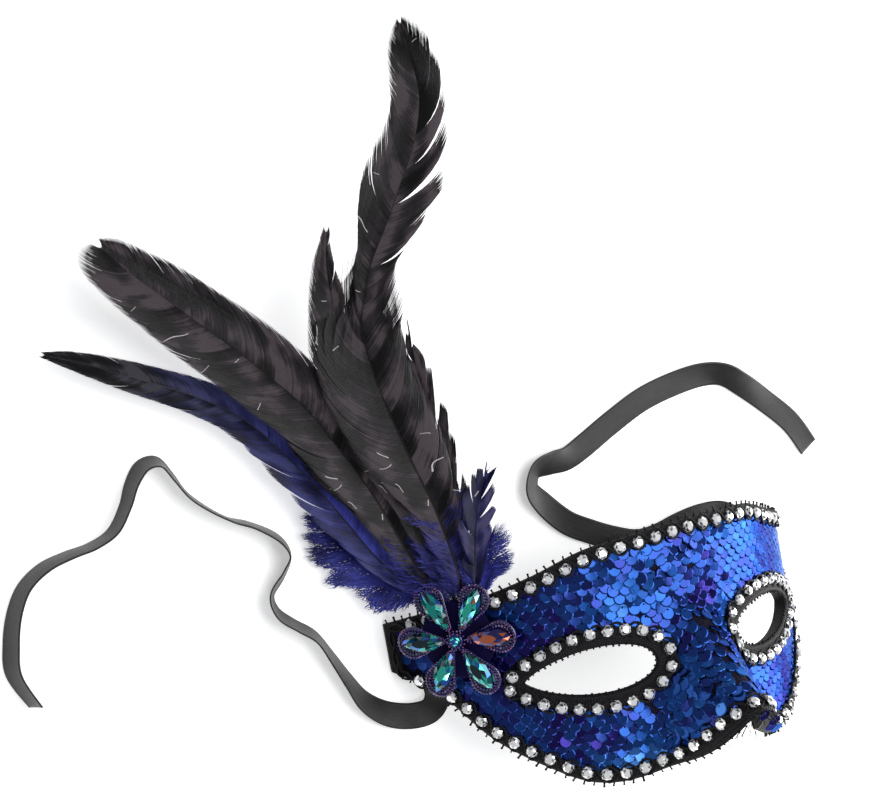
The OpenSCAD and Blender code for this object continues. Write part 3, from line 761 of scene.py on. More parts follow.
@once
def satin_weave():
    """Black satin: floating threads along the ribbon with a faint brown cast."""
    dark = tuple(bpy.context.scene.mask_ribbons.color)
    light = tuple(3.2 * c for c in dark)
    satin = Finish("Black satin", dark, 0.4, Sheen_Weight=0.06, Sheen_Roughness=0.3, Specular_IOR_Level=0.4)
    stretched = satin.add("ShaderNodeMapping", Vector=satin.place("UV"), Scale=(0.15, 1, 1)).outputs[0]
    streak = satin.noise(stretched, 1500.0, 4.0)
    weave = satin.group(weave_group(), "UV", Thread_Pitch=0.00045, Unevenness=0.2)["Height"]
    satin.set(Base_Color=satin.ramp(streak, (0.3, dark), (0.75, light)))
    return satin.bump(satin.math("ADD", streak, weave), 0.35, 0.0001)


# ---- stage ----


def set_stage(look):
    """A pale floor, soft boxes and the camera."""
    scene = bpy.context.scene
    scene.view_settings.view_transform = "Standard"
    floor_mesh = bpy.data.meshes.new("floor")
    reach = 3.0
    corners = [(x * reach, y * reach, 0) for x, y in ((-1, -1), (1, -1), (1, 1), (-1, 1))]
    floor_mesh.from_pydata(corners, [], [(0, 1, 2, 3)])
    floor = bpy.data.objects.new("floor", floor_mesh)
    floor.location.z = min(0.0, CAD_BOX[0].z) - 0.0002
    scene.collection.objects.link(floor)
    top = Finish(
        "Pale table", tuple(look.floor_color), 0.9, Specular_IOR_Level=0.1, Emission_Color=(1, 1, 1, 1),
        Emission_Strength=look.floor_glow,
    )
    floor_mesh.materials.append(top.material)

    world = bpy.data.worlds.new("Soft daylight")
    world.use_nodes = True
    sky = world.node_tree.nodes["Background"].inputs
    sky["Color"].default_value = (0.93, 0.96, 1.0, 1)
    sky["Strength"].default_value = look.ambient
    scene.world = world

    target = Vector((-0.05, 0.06, 0.04))
    boxes = (
        ("overhead_box", (0.15, 0.25, 1.1), 0.9, 0.9, look.overhead),
        ("side_box", (1.1, -0.15, 0.38), 0.7, 0.7, look.side),
        ("front_box", (-0.35, -0.9, 0.75), 0.5, 0.4, look.front),
    )
    for name, place, wide, high, power in boxes:
        light = bpy.data.lights.new(name, "AREA")
        light.shape, light.size, light.size_y, light.energy = "RECTANGLE", wide, high, power
        lamp = bpy.data.objects.new(name, light)
        lamp.location = place
        lamp.rotation_euler = (target - Vector(place)).to_track_quat("-Z", "Y").to_euler()
        scene.collection.objects.link(lamp)

    camera_data = bpy.data.cameras.new("camera")
    camera_data.lens = look.lens
    camera_data.sensor_width = 36.0
    camera_data.clip_start, camera_data.clip_end = 0.01, 20.0
    camera = bpy.data.objects.new("camera", camera_data)
    back = (Vector(look.camera_at) - Vector(look.camera_aim)).normalized()
    right = Vector(look.camera_up).cross(back).normalized()
    turn = Matrix((right, back.cross(right), back)).transposed()
    camera.matrix_world = Matrix.Translation(look.camera_at) @ turn.to_4x4()
    scene.collection.objects.link(camera)
    scene.camera = camera


# ---- smooth lines through stations ----


def smooth(line, parts):
    """A smooth line through stations, the same curve as the CAD part's."""
    line = np.asarray(line, float)
    n = len(line)
    i = np.arange(n - 1)
    a, b, c, d = line[np.maximum(0, i - 1)], line[i], line[i + 1], line[np.minimum(n - 1, i + 2)]
    made = []
    for k in range(parts):
        t = k / parts
        made.append(0.5 * (
            2 * b + (c - a) * t + (2 * a - 5 * b + 4 * c - d) * t**2 + (3 * b - a - 3 * c + d) * t**3
        ))
    return np.concatenate([np.stack(made, axis=1).reshape(-1, line.shape[1]), line[-1:]])


# ---- ribbons ----

# [x, y, z, lean of the flat side in degrees], millimetres
LEFT_ROUTE = [
    [-78.5, 20, 7.5, 60], [-78.5, 12, 6.5, 60], [-76, 3, 5, 45], [-74.5, -5, 3, 25], [-78, -10, 1.6, 10],
    [-86, -10, 0.6, 8], [-96, -6, 0.6, 22], [-104, 1, 0.6, 36], [-109, 10, 0.6, 48], [-114, 20, 0.8, 56],
    [-119, 29, 1.4, 62], [-126, 35, 2.6, 64], [-132, 41, 3.6, 60], [-133, 48, 3.6, 58],
    [-127, 54, 2, 60], [-123, 60, 2, 64], [-126, 67, 3.4, 68], [-135, 74, 4.2, 76],
    [-143, 78, 4.6, 80], [-151, 84, 4.8, 76], [-157, 90, 4.8, 72], [-161, 97, 4.2, 68],
    [-165, 103, 3.4, 68], [-171, 103, 3, 75], [-176, 98, 2.6, 82], [-180, 91, 2.2, 86],
    [-186, 84, 2.2, 86], [-194, 81, 2.2, 84], [-203, 80, 2, 82], [-212, 78, 1.4, 80],
    [-220, 73, 0.8, 80], [-225, 65, 0.6, 78], [-228, 55, 0.6, 75], [-229, 45, 0.6, 75], [-224, 33, 0.6, 80],
]
RIGHT_ROUTE = [
    [78.5, 12, 7.5, 60], [78, 20, 6.5, 60], [75, 27, 5, 50], [68, 31, 3.4, 30], [58, 32, 1.6, 10],
    [47, 31, 0.6, 0], [36, 29, 0.6, 0], [26, 29, 0.6, 0], [15, 33, 0.6, 0], [5, 38, 0.6, 0],
    [-5, 44, 0.8, 0], [-14, 53, 1.6, 10], [-19, 60, 3, 30], [-16, 67, 3.4, 35], [-8, 68, 2.4, 20],
    [0, 68, 1.4, 10], [9, 71, 0.8, 0], [23, 77, 0.6, 0], [39, 83, 0.6, 0], [55, 86, 0.6, 0],
    [69, 87, 1.4, 10], [79, 85, 2.6, 25], [88, 79, 2, 15], [99, 70, 0.8, 0], [110, 59, 0.6, 0],
    [117, 47, 0.6, 0],
]


def make_ribbon(name, route, look):
    """A satin ribbon: a thin strip with firm edges that follows the route and leans with it."""
    line = smooth(route, 8)
    centre, lean = line[:, :3] * MM, np.radians(line[:, 3])
    centre[:, 2] = np.maximum(centre[:, 2], look.width / 2 * np.sin(lean) + 0.0003)
    along = unit(np.gradient(centre, axis=0))
    level = unit(np.cross([0, 0, 1], along))
    up = np.cross(along, level)
    side = level * np.cos(lean)[:, None] + up * np.sin(lean)[:, None]
    face = np.cross(along, side)
    sums = lengths(centre)
    share = np.linspace(-1, 1, 13)
    half_w, half_t = look.width / 2, look.thickness / 2
    firm = half_t * (1 + 0.7 * (np.abs(share) > 0.9))
    curl = 0.0003 * np.sin(sums * 70)[:, None] * (share**2)[None, :]
    rings = []
    for sign in (1, -1):
        across = (half_w * share[::sign])[None, :, None]
        lift = (sign * firm[::sign] + curl[:, ::sign])[..., None]
        rings.append(centre[:, None, :] + side[:, None, :] * across + face[:, None, :] * lift)
    rings = np.concatenate(rings, axis=1)
    v = np.concatenate([share, share[::-1]]) * half_w
    uv = np.stack(np.broadcast_arrays(sums[:, None], v[None, :]), axis=-1).reshape(-1, 2)
    piece = make_piece(name + "_satin", rings.reshape(-1, 3), swept(rings), satin_weave(), uv=uv)
    finish_piece(piece, "satin", name)


# ---- shell, lining, cloth and bindings ----


def trimmed_outline(detail, inset):
    """The right half's outline moved in, its mid-line kept on the mid-plane."""
    outline, first, last = half_outline(detail)
    n = len(outline)
    moved = edge_in(outline, eye_at(circle(n)), first, last, inset)
    top, low = moved[first, 1] / outline[first, 1], moved[last, 1] / outline[last, 1]
    moved[: first + 1] = outline[: first + 1] * [0, top]
    moved[last:] = outline[last:] * [0, low]
    return moved, first, last


def face_layer(name, low, high, material, trims=((0, 0), (0, 0)), detail=3, rows=16):
    """One layer of the face with its two eye holes; trims are (edge, hole) cut back at its low and high level."""
    grids = []
    share = (np.arange(rows + 1) / rows)[:, None, None]
    for edge, hole in trims:
        outline, first, last = trimmed_outline(detail, edge * MM)
        n = len(outline)
        eye = eye_at(circle(n), hole * MM)
        grids.append(mix(eye[None], outline[None], share))
    points, flat, ids = [], [], np.zeros((2, 2, rows + 1, n), int)
    count = (rows + 1) * n
    middle = (np.arange(n) <= first) | (np.arange(n) >= last)
    for side in (0, 1):
        sign = 1 - 2 * side
        for top, level in enumerate((low, high)):
            grid = grids[top]
            points.append(face_point(sign * grid[..., 0], grid[..., 1], level).reshape(-1, 3))
            flat.append((grid * [sign, 1]).reshape(-1, 2))
            ids[side, top] = (side * 2 + top) * count + np.arange(count).reshape(rows + 1, n)
    ids[1, :, rows, middle] = ids[0, :, rows, middle]
    faces = []
    nxt = np.roll(np.arange(n), -1)
    for side in (0, 1):
        for top in (0, 1):
            g = ids[side, top]
            faces += np.stack([g[:-1], g[:-1][:, nxt], g[1:][:, nxt], g[1:]], -1).reshape(-1, 4).tolist()
        for row, columns in ((0, np.arange(n)), (rows, np.arange(first, last))):
            a, b = ids[side, 0, row], ids[side, 1, row]
            faces += np.stack([a[columns], a[nxt][columns], b[nxt][columns], b[columns]], -1).tolist()
    return make_piece(name, np.concatenate(points), faces, material, uv=np.concatenate(flat))


def ring_on_face(line_at, section, side=1):
    """Rings of a strip on the face: line_at(inset) gives the (s, y) line at an inset, section is (inset, level)s."""
    columns = [line_at(inset) * [side, 1] for inset, _ in section]
    return np.stack([face_point(c[:, 0], c[:, 1], level) for c, (_, level) in zip(columns, section)], axis=1)


def ring_uv(rings):
    """UV in metres for swept rings: along the strip, then round its section."""
    along = lengths(rings[:, 0])
    round_ = lengths(rings[0])
    return np.stack(np.broadcast_arrays(along[:, None], round_[None, :]), axis=-1).reshape(-1, 2)


def eye_line(out, n=180):
    return eye_at(circle(n), out)


def edge_line(inset, detail=3):
    """The whole free edge, moved in, once round: the right half and then the mirrored left half."""
    points, first, last = half_outline(detail)
    n = len(points)
    moved = edge_in(points, eye_at(circle(n)), first, last, inset)
    return np.concatenate([moved[first:last], moved[last:first:-1] * [-1, 1]])


BINDING_SECTION = [
    (0.6, -0.2), (-0.1, 1.7), (-0.7, 3.7), (-0.5, 4.0), (-0.1, 3.7), (0.4, 1.7), (1.4, -0.2), (1.0, -0.4),
]


def make_face():
    """Felt lining, moulded shell, the net that carries the sequins, and the bound eye holes."""
    lining = face_layer("lining_felt", 0, SHELL_LEVEL, black_felt(), trims=((2.4, 1.3), (2.2, 1.2)))
    finish_piece(lining, "felt", "felt_lining")
    shell = face_layer("shell_moulding", SHELL_LEVEL, CLOTH_LEVEL, moulded_shell(), trims=((2.2, 1.2), (1.5, 0.4)))
    finish_piece(shell, "shell", "mask_shell")
    net = face_layer("sequin_net", CLOTH_LEVEL, SEQUIN_LEVEL, net_cloth(), trims=((1.5, 0.4), (1.2, 0.0)))
    finish_piece(net, "sequins", "sequin_cloth")
    section = [(out * MM, level * MM) for out, level in BINDING_SECTION]
    for side, name in ((-1, "left"), (1, "right")):
        rings = ring_on_face(eye_line, section, side)
        tape = make_piece(
            name + "_eye_tape", rings.reshape(-1, 3), swept(rings, closed=True), binding_tape(), uv=ring_uv(rings)
        )
        finish_piece(tape, "binding", name + "_eye_binding")


# ---- sequins ----


def distance_to_line(points, line):
    """Distance of each point to a line of points, in the plane."""
    a, b = line[:-1][None], line[1:][None]
    p = points[:, None]
    d = b - a
    t = np.clip(((p - a) * d).sum(-1) / np.maximum((d * d).sum(-1), 1e-15), 0, 1)
    return np.linalg.norm(p - a - t[..., None] * d, axis=-1).min(axis=1)


def inside(points, line):
    """Whether each point lies inside a closed line."""
    x, y = points[:, 0][:, None], points[:, 1][:, None]
    a, b = line, np.roll(line, -1, axis=0)
    crosses = (a[:, 1] > y) != (b[:, 1] > y)
    at = (b[:, 0] - a[:, 0]) * (y - a[:, 1]) / np.where(b[:, 1] == a[:, 1], 1e-12, b[:, 1] - a[:, 1]) + a[:, 0]
    return (crosses & (x < at)).sum(axis=1) % 2 == 1


def sequin_disc(diameter, hole, cup):
    """A round disc with a bent rim and a sewing hole near its upper edge."""
    rim_n, hole_n = 16, 8
    r = diameter / 2
    a, b = circle(rim_n), circle(hole_n)
    rim = np.stack([r * np.cos(a), r * np.sin(a), np.full(rim_n, -cup)], axis=1)
    bend = np.stack([0.84 * r * np.cos(a), 0.84 * r * np.sin(a), np.zeros(rim_n)], axis=1)
    edge = np.stack([hole / 2 * np.cos(b), 0.5 * r + hole / 2 * np.sin(b), np.full(hole_n, -cup * 0.3)], axis=1)
    faces = strip_faces(2, rim_n)
    for j in range(hole_n):
        k, nxt = rim_n + 2 * j, 2 * rim_n + (j + 1) % hole_n
        faces.append((k, k + 1, nxt, 2 * rim_n + j))
        faces.append((k + 1, rim_n + (2 * j + 2) % rim_n, nxt))
    return small_part("sequin_disc", np.concatenate([rim, bend, edge]), faces, smooth=False, outward=False)


# sequins that hang loose on the end of the nose: s, level and how far off it in millimetres, and their painted light
# and shade (above 0 a painted highlight, below 0 painted shade)
NOSE_STRAYS = [(7.2, 2.8, 1.2, 0.15), (0.2, 3.0, 0.8, -0.25), (4.4, 2.4, 0.8, -0.2), (5.8, 0.6, 0.9, -0.3)]
# the same for one caught on the braid beside the ridge: s, y from the nose's lower edge, level, painted light (a
# painted glint)
CAUGHT_SEQUIN = (-5.8, 3.6, 5.8, 0.5)


def stray_places():
    """Places, facing ways and painted light and shade of the loose sequins at the nose."""
    tip = line_y(CHEEK_LINE, 0)
    s, level, off, shade = np.array(NOSE_STRAYS).T * [[MM], [MM], [MM], [1]]
    edge, ahead = (line_y(CHEEK_LINE, np.abs(x) / HALF_SPAN) for x in (s, s + 0.0002))
    tangent = base_point(s + 0.0002, ahead) - base_point(s, edge)
    out = unit(np.cross(tangent, face_normal(s, edge)))
    places = face_point(s, edge, level) + out * off[:, None]
    caught_s, caught_y, caught_level, caught_painted_light = CAUGHT_SEQUIN
    caught = face_point(caught_s * MM, tip + caught_y * MM, caught_level * MM)
    up = np.concatenate([out, face_normal(caught_s * MM, tip + caught_y * MM)[None]])
    return np.concatenate([places, caught[None]]), up, np.append(shade, caught_painted_light)


def painted_light_by_region(s, y):
    """Painted light and shade on the film, by region: painted shade at the left temple and on the nose's left flank,
    painted glints in a band above the left cheek's edge and under the left brow.
    """
    edge = line_y(CHEEK_LINE, np.abs(s) / HALF_SPAN)
    dark = -0.2 * np.clip((-0.028 - s) * 22, 0, 1)
    band = 0.42 * np.exp(-((s + 0.034) / 0.014) ** 2) * np.exp(-((y - edge - 0.0085) / 0.004) ** 2)
    brow = 0.07 * np.exp(-((s + 0.03) / 0.02) ** 2) * np.exp(-((y - 0.026) / 0.009) ** 2)
    bridge = -0.05 * np.exp(-((s + 0.012) / 0.01) ** 2) * np.clip((0.004 - y) * 60, 0, 1)
    return dark + band + brow + bridge


def make_sequins(look):
    """Rows of overlapping sequins, their free edges down, looser over the nose than at the sides."""
    rng = np.random.default_rng(look.seed)
    edge = closed_line(edge_line(0.0, 1))
    rows = np.arange(-0.05, 0.05, look.row_pitch)
    columns = np.arange(-HALF_SPAN, HALF_SPAN, look.pitch)
    s, y = np.meshgrid(columns, rows)
    s = s + (np.arange(len(rows)) % 2)[:, None] * look.pitch / 2
    places = np.stack([s.ravel(), y.ravel()], axis=1)
    e = 0.0005
    s, y = places.T
    over = np.linalg.norm(base_point(s + e, y) - base_point(s - e, y), axis=1)
    more = places[rng.random(len(places)) < 1.5 * (over / (2 * e) - 1.08)]
    again = more[rng.random(len(more)) < 0.6] + [look.pitch / 4, -look.row_pitch / 2]
    places = np.concatenate([places, more + [look.pitch / 2, look.row_pitch / 3], again])
    places += rng.normal(0, 0.0002, places.shape)
    clear = EDGE_STONE_IN + SEQUIN_TO_STONES / steepness(places, np.array([0.0, -1.0]))
    keep = inside(places, edge[:-1]) & (distance_to_line(places, edge) > clear)
    places = places[keep]
    for side in (-1, 1):
        hole = closed_line(eye_line(0.0, 60) * [side, 1])
        away = distance_to_line(places, hole)
        places = places[~inside(places, hole[:-1]) & (away > SEQUIN_TO_EYE)]
    s, y = places.T
    middle = np.exp(-((s + 0.004) / 0.026) ** 2)
    waves = 0.5 + 0.5 * np.sin(s * 170 + 1.3) * np.sin(y * 210 + s * 60)
    left = np.clip((0.03 - s) * 14, 0, 1)
    loose = 0.22 + 1.3 * middle * waves + 0.35 * left + 0.5 * (waves > 0.9) * left
    lost = rng.random(len(s)) < 0.03 * middle
    s, y, loose = s[~lost], y[~lost], loose[~lost]
    up, along, _ = face_frame(s, y)
    lift = look.diameter / 2 * math.sin(look.tilt) + 0.0001 + 0.0004 * rng.random(len(s)) * loose
    disc = sequin_disc(look.diameter, look.hole, look.cup)
    stray, stray_up, stray_painted_light = stray_places()
    places = np.concatenate([face_point(s, y, SEQUIN_LEVEL + lift), stray])
    up = np.concatenate([up, stray_up])
    along = np.concatenate([along, np.tile([1.0, 0.1, 0.2], (len(stray), 1))])
    # painted light and shade for each sequin: by region, and on the loose sequins at the nose
    shade = np.concatenate([painted_light_by_region(s, y), stray_painted_light])
    loose = np.concatenate([loose, np.full(len(stray), 0.2)])
    piece = seat_pieces(
        "sequins", disc, sequin_film(), places, up, along, tilt=-look.tilt,
        wobble=look.wobble, seed=look.seed, size=rng.normal(1, 0.02, len(places)), loose=loose, shade=shade,
    )
    finish_piece(piece, "sequins", "sequin_cloth")


# ---- rhinestone rows ----


def stones_along(line, first, step, count):
    """The (s, y) places of stones at an even distance along a line on the face."""
    sums = lengths(face_point(line[:, 0], line[:, 1], STONE_LEVEL))
    at = first + step * np.arange(count)
    return at_length(line, sums, at[at <= sums[-1]])


def edge_stone_line(which):
    """The line of stones along the brow or along the cheeks, from the left temple to the right."""
    points, first, last = half_outline(1)
    n = len(points)
    moved = edge_in(points, eye_at(circle(n)), first, last, EDGE_STONE_IN)
    half = moved[first : first + 23] if which == "brow" else moved[last : last - 25 : -1]
    return np.concatenate([half[:0:-1] * [-1, 1], half])


def stone_rows():
    """Places of every row of stones, as {CAD node: (s, y)}."""
    made = {}
    for node, which, first, spare in (
        ("top_edge_stones", "brow", BROW_FIRST, 0.016), ("bottom_edge_stones", "cheek", CHEEK_FIRST, 0.014)
    ):
        line = edge_stone_line(which)
        total = lengths(face_point(line[:, 0], line[:, 1], STONE_LEVEL))[-1]
        made[node] = stones_along(line, first, STONE_PITCH, int((total - spare) / STONE_PITCH) + 1)
    turns = math.pi + 2 * math.pi * np.arange(121) / 120
    for side, node in ((-1, "left_eye_stones"), (1, "right_eye_stones")):
        line = eye_at(turns, EYE_STONE_OUT) * [side, 1]
        total = lengths(face_point(line[:, 0], line[:, 1], STONE_LEVEL))[-1]
        made[node] = stones_along(line, EYE_FIRST, total / EYE_STONES, EYE_STONES)
    return made


def crystal(look):
    """A round stone cut with a table, a ring of kite facets and a ring of break facets."""
    r, h = look.diameter / 2, look.height
    n = 8
    a = circle(n)
    half = np.pi / n
    rings = [(r * 0.93, 0.0, 0), (r, h * 0.22, 0), (r * 0.8, h * 0.62, half), (r * 0.5, h, 0)]
    points = [[x * np.cos(t + turn), x * np.sin(t + turn), z] for x, z, turn in rings for t in a]
    faces = strip_faces(2, n)
    for j in range(n):
        k = (j + 1) % n
        faces += [(n + j, n + k, 2 * n + j), (2 * n + j, n + k, 2 * n + k)]
        faces += [(2 * n + j, 3 * n + k, 3 * n + j), (2 * n + j, 2 * n + k, 3 * n + k)]
    faces += [tuple(3 * n + j for j in range(n)), tuple(reversed(range(n)))]
    part = small_part("crystal", points, faces)
    flash = part.data.attributes.new("flash", "FLOAT", "FACE")
    # painted reflections: each facet near black, grey or white, and the table painted pale
    values = np.random.default_rng(look.seed).choice([0.0, 0.25, 0.6, 0.9, 1.0, 1.0, 1.0], len(faces))
    values[-2] = 0.9
    flash.data.foreach_set("value", values.astype(np.float32))
    return part


def make_stones(look):
    """The four rows of rhinestones, each cut stone turned at random in its seat."""
    rng = np.random.default_rng(look.seed)
    for node, places in stone_rows().items():
        s, y = places.T
        up, along, across = face_frame(s, y)
        turn = rng.uniform(0, 2 * np.pi, len(s))[:, None]
        piece = seat_pieces(
            node + "_cut", crystal(look), cut_crystal(), face_point(s, y, STONE_LEVEL), up,
            along * np.cos(turn) + across * np.sin(turn), wobble=look.wobble, seed=look.seed,
        )
        finish_piece(piece, "rhinestone", node)


# ---- braid ----

# [inset, level] in millimetres round the section of the outer braid, which wraps the mask's edge
EDGE_SECTION = [
    (2.4, 1.2), (1.9, 0.9), (1.0, 2.1), (0.35, 3.2), (0.15, 3.9), (0.6, 4.5), (1.4, 4.75), (2.4, 4.5), (3.6, 4.7),
    (4.7, 4.35), (4.9, 3.6), (2.5, 3.45), (1.1, 3.4), (1.5, 2.4),
]
# [distance out from the hole, level] round the section of an eye braid
EYE_SECTION = [
    (-0.3, 3.9), (0.1, 4.6), (1.4, 4.8), (2.8, 4.5), (4.2, 4.7), (5.4, 4.55), (6.5, 4.3), (6.8, 3.6), (3.5, 3.5),
    (0.3, 3.5),
]


def steepness(places, way):
    """How much longer a step on the face is than the same step in (s, y)."""
    e = 0.0003
    ahead = places + way * e
    return np.linalg.norm(base_point(ahead[:, 0], ahead[:, 1]) - base_point(places[:, 0], places[:, 1]), axis=1) / e


def band_line(inset):
    """The free edge moved in; past the line of stones the band keeps its width where the face is steep."""
    line = edge_line(min(inset, EDGE_STONE_IN))
    if inset <= EDGE_STONE_IN:
        return line
    step = edge_line(inset) - line
    return line + step / steepness(line, unit(step))[:, None]


def woven_strand(line, reach, pitch, phase, thick, bulge):
    """A closed cord that swings from side to side of a line on the face and passes over its twin."""
    dense = np.linspace(0, 1, 6 * len(line))
    closed = closed_line(line)
    sums = lengths(face_point(closed[:, 0], closed[:, 1], BRAID_TOP))
    waves = max(1, round(sums[-1] / pitch))
    at = at_length(closed, sums, dense[:-1] * sums[-1])
    way = unit(np.roll(at, -1, axis=0) - np.roll(at, 1, axis=0))
    across = np.stack([way[:, 1], -way[:, 0]], axis=1)
    turn = np.pi * waves * dense[:-1] + phase
    calm = np.clip((HALF_SPAN + 0.001 - np.abs(at[:, 0])) / 0.014, 0.25, 1)
    swing = reach * np.sin(turn) * calm / steepness(at, across)
    flat = at + across * swing[:, None]
    level = BRAID_TOP + thick * 0.4 + bulge * np.cos(turn)
    centre = face_point(flat[:, 0], flat[:, 1], level)
    normal = face_normal(flat[:, 0], flat[:, 1])
    side = unit(np.cross(np.roll(centre, -1, axis=0) - np.roll(centre, 1, axis=0), normal))
    a = circle(6)
    rings = centre[:, None] + thick * (
        side[:, None] * np.cos(a)[None, :, None] + normal[:, None] * np.sin(a)[None, :, None]
    )
    return rings


def join_sweeps(name, sweeps, material):
    """One piece of several closed sweeps."""
    points, faces, uv, first = [], [], [], 0
    for rings in sweeps:
        points.append(rings.reshape(-1, 3))
        faces += swept(rings, closed=True, first=first)
        uv.append(ring_uv(rings))
        first += len(points[-1])
    return make_piece(name, np.concatenate(points), faces, material, uv=np.concatenate(uv))


def prong(length, thick):
    """A small stiff loop of thread that stands out from the braid's edge."""
    a = circle(5)
    stops = [(0, 1), (0.55, 0.85), (0.75, 1.15), (0.95, 1.0), (1, 0.3)]
    rings = np.array([[[length * x, thick * w * np.cos(t), thick * w * np.sin(t)] for t in a] for x, w in stops])
    return small_part("prong", rings.reshape(-1, 3), swept(rings), smooth=True)


def seat_prongs(name, line, outward, look, spacing, length, level):
    """Prongs at an even distance along a closed line on the face, pointing away from it."""
    closed = closed_line(line)
    sums = lengths(face_point(closed[:, 0], closed[:, 1], level))
    count = int(sums[-1] / spacing)
    places = at_length(closed, sums, np.arange(count) * sums[-1] / count)
    ahead = at_length(closed, sums, np.minimum(np.arange(count) * sums[-1] / count + 0.0005, sums[-1]))
    way = unit(ahead - places)
    out = places + outward * np.stack([way[:, 1], -way[:, 0]], axis=1) * 0.001
    here = face_point(places[:, 0], places[:, 1], level)
    along = unit(face_point(out[:, 0], out[:, 1], level) - here)
    up = face_normal(places[:, 0], places[:, 1])
    rng = np.random.default_rng(look.seed)
    size = rng.uniform(0.7, 1.15, count)
    clear = (here + along * length * 1.2)[:, 2] > 0.0008
    return seat_pieces(
        name, prong(length, look.prong_thickness), braid_thread(), here[clear], up[clear], along[clear], wobble=0.28,
        seed=look.seed, size=size[clear],
    )


def make_braid(look):
    """The braids that carry the stones: a band, two woven strands round the stones and a row of prongs."""
    section = [(inset * MM, level * MM) for inset, level in EDGE_SECTION]
    band = ring_on_face(band_line, section)
    strands = [
        woven_strand(edge_line(EDGE_STONE_IN), look.strand_reach, STONE_PITCH, phase, look.strand, 0.0003)
        for phase in (0, math.pi)
    ]
    edge_band = join_sweeps("outer_braid_band", [band, *strands], braid_thread())
    finish_piece(edge_band, "braid", "outer_braid")
    picots = seat_prongs("outer_braid_prongs", edge_line(0.0004), -1, look, STONE_PITCH / 2, look.prong, 0.0041)
    finish_piece(picots, "braid")
    section = [(out * MM, level * MM) for out, level in EYE_SECTION]
    for side, name in ((-1, "left"), (1, "right")):
        band = ring_on_face(eye_line, section, side)
        line = eye_line(EYE_STONE_OUT) * [side, 1]
        strands = [
            woven_strand(line, look.strand_reach * 0.93, STONE_PITCH, phase, look.strand, 0.0003)
            for phase in (0, math.pi)
        ]
        finish_piece(join_sweeps(name + "_eye_band", [band, *strands], braid_thread()), "braid", name + "_eye_braid")
        picots = seat_prongs(
            name + "_eye_prongs", eye_line(-0.0001) * [side, 1], side, look, STONE_PITCH / 3, look.prong * 0.6, 0.0042
        )
        finish_piece(picots, "braid")


def make_tuft(look):
    """Loose thread ends that hang from the braid under the nose."""
    rng = np.random.default_rng(look.seed)
    n = look.tuft
    s = rng.normal(0, 0.003, n)
    y = line_y(CHEEK_LINE, np.abs(s) / HALF_SPAN) + rng.uniform(0.0, 0.0015, n)
    here = face_point(s, y, rng.uniform(0.001, 0.004, n))
    along = unit(np.column_stack([rng.normal(0, 0.5, n), np.full(n, -1.0), rng.normal(0.0, 0.5, n)]))
    piece = seat_pieces(
        "nose_thread_tuft", prong(look.tuft_length, 0.00013), braid_thread(), here, face_normal(s, y), along,
        wobble=0.3, seed=look.seed, size=rng.uniform(0.5, 1.2, n),
    )
    finish_piece(piece, "braid")


# ---- flower ----


def flower_frame():
    """Turns the flower's own axes to its place on the left temple."""
    turn = Matrix.Rotation(-float(wrap_angle(np.array(-FLOWER_S))), 4, "Y")
    return Matrix.Translation(face_point(FLOWER_S, FLOWER_Y, FLOWER_LIFT)) @ turn


def placed(points, matrix):
    points = np.asarray(points, float).reshape(-1, 3)
    m = np.array(matrix)
    return points @ m[:3, :3].T + m[:3, 3]


def petal_outline(inset, n=64):
    """Outline of a petal that lies along +X, moved in, with even steps; the root is cut off short."""
    tip_at, tip_r, root_r = PETAL_REACH - PETAL_TIP_R, PETAL_TIP_R - inset, max(PETAL_ROOT_R - inset, 0.0002)
    lean = math.asin((PETAL_TIP_R - PETAL_ROOT_R) / (tip_at - PETAL_ROOT_AT))
    wide = math.pi / 2 + lean
    tip, root = np.linspace(-wide, wide, 40), np.linspace(wide, 2 * math.pi - wide, 12)
    line = np.concatenate([
        np.stack([tip_at + tip_r * np.cos(tip), tip_r * np.sin(tip)], axis=1),
        np.stack([PETAL_ROOT_AT + root_r * np.cos(root), root_r * np.sin(root)], axis=1),
    ])
    closed = np.concatenate([line, line[:1]])
    sums = lengths(closed)
    return at_length(closed, sums, np.arange(n) * sums[-1] / n)


def stacked(outlines, cap=True):
    """Faces of a solid made of outlines of equal length, one above another."""
    n = len(outlines[0])
    faces = strip_faces(len(outlines), n)
    if cap:
        faces += [tuple(reversed(range(n))), tuple((len(outlines) - 1) * n + j for j in range(n))]
    return faces


def join_solids(name, solids, material, values=None, smooth=True, uv=None):
    """One piece of several solids, each (points, faces)."""
    points, faces, first = [], [], 0
    for p, f in solids:
        p = np.asarray(p, float).reshape(-1, 3)
        points.append(p)
        faces += [tuple(first + i for i in face) for face in f]
        first += len(p)
    return make_piece(name, np.concatenate(points), faces, material, values=values, smooth=smooth, uv=uv)


def petal_plate():
    """A thin cupped plate with a rolled rim."""
    levels = [(0.0004, 0.0), (0.0, 0.0003), (0.0, 0.0006), (0.0005, 0.0009), (0.0013, 0.0006), (0.003, 0.0005)]
    rings = [np.column_stack([petal_outline(inset), np.full(64, z)]) for inset, z in levels]
    return np.concatenate(rings), stacked(rings)


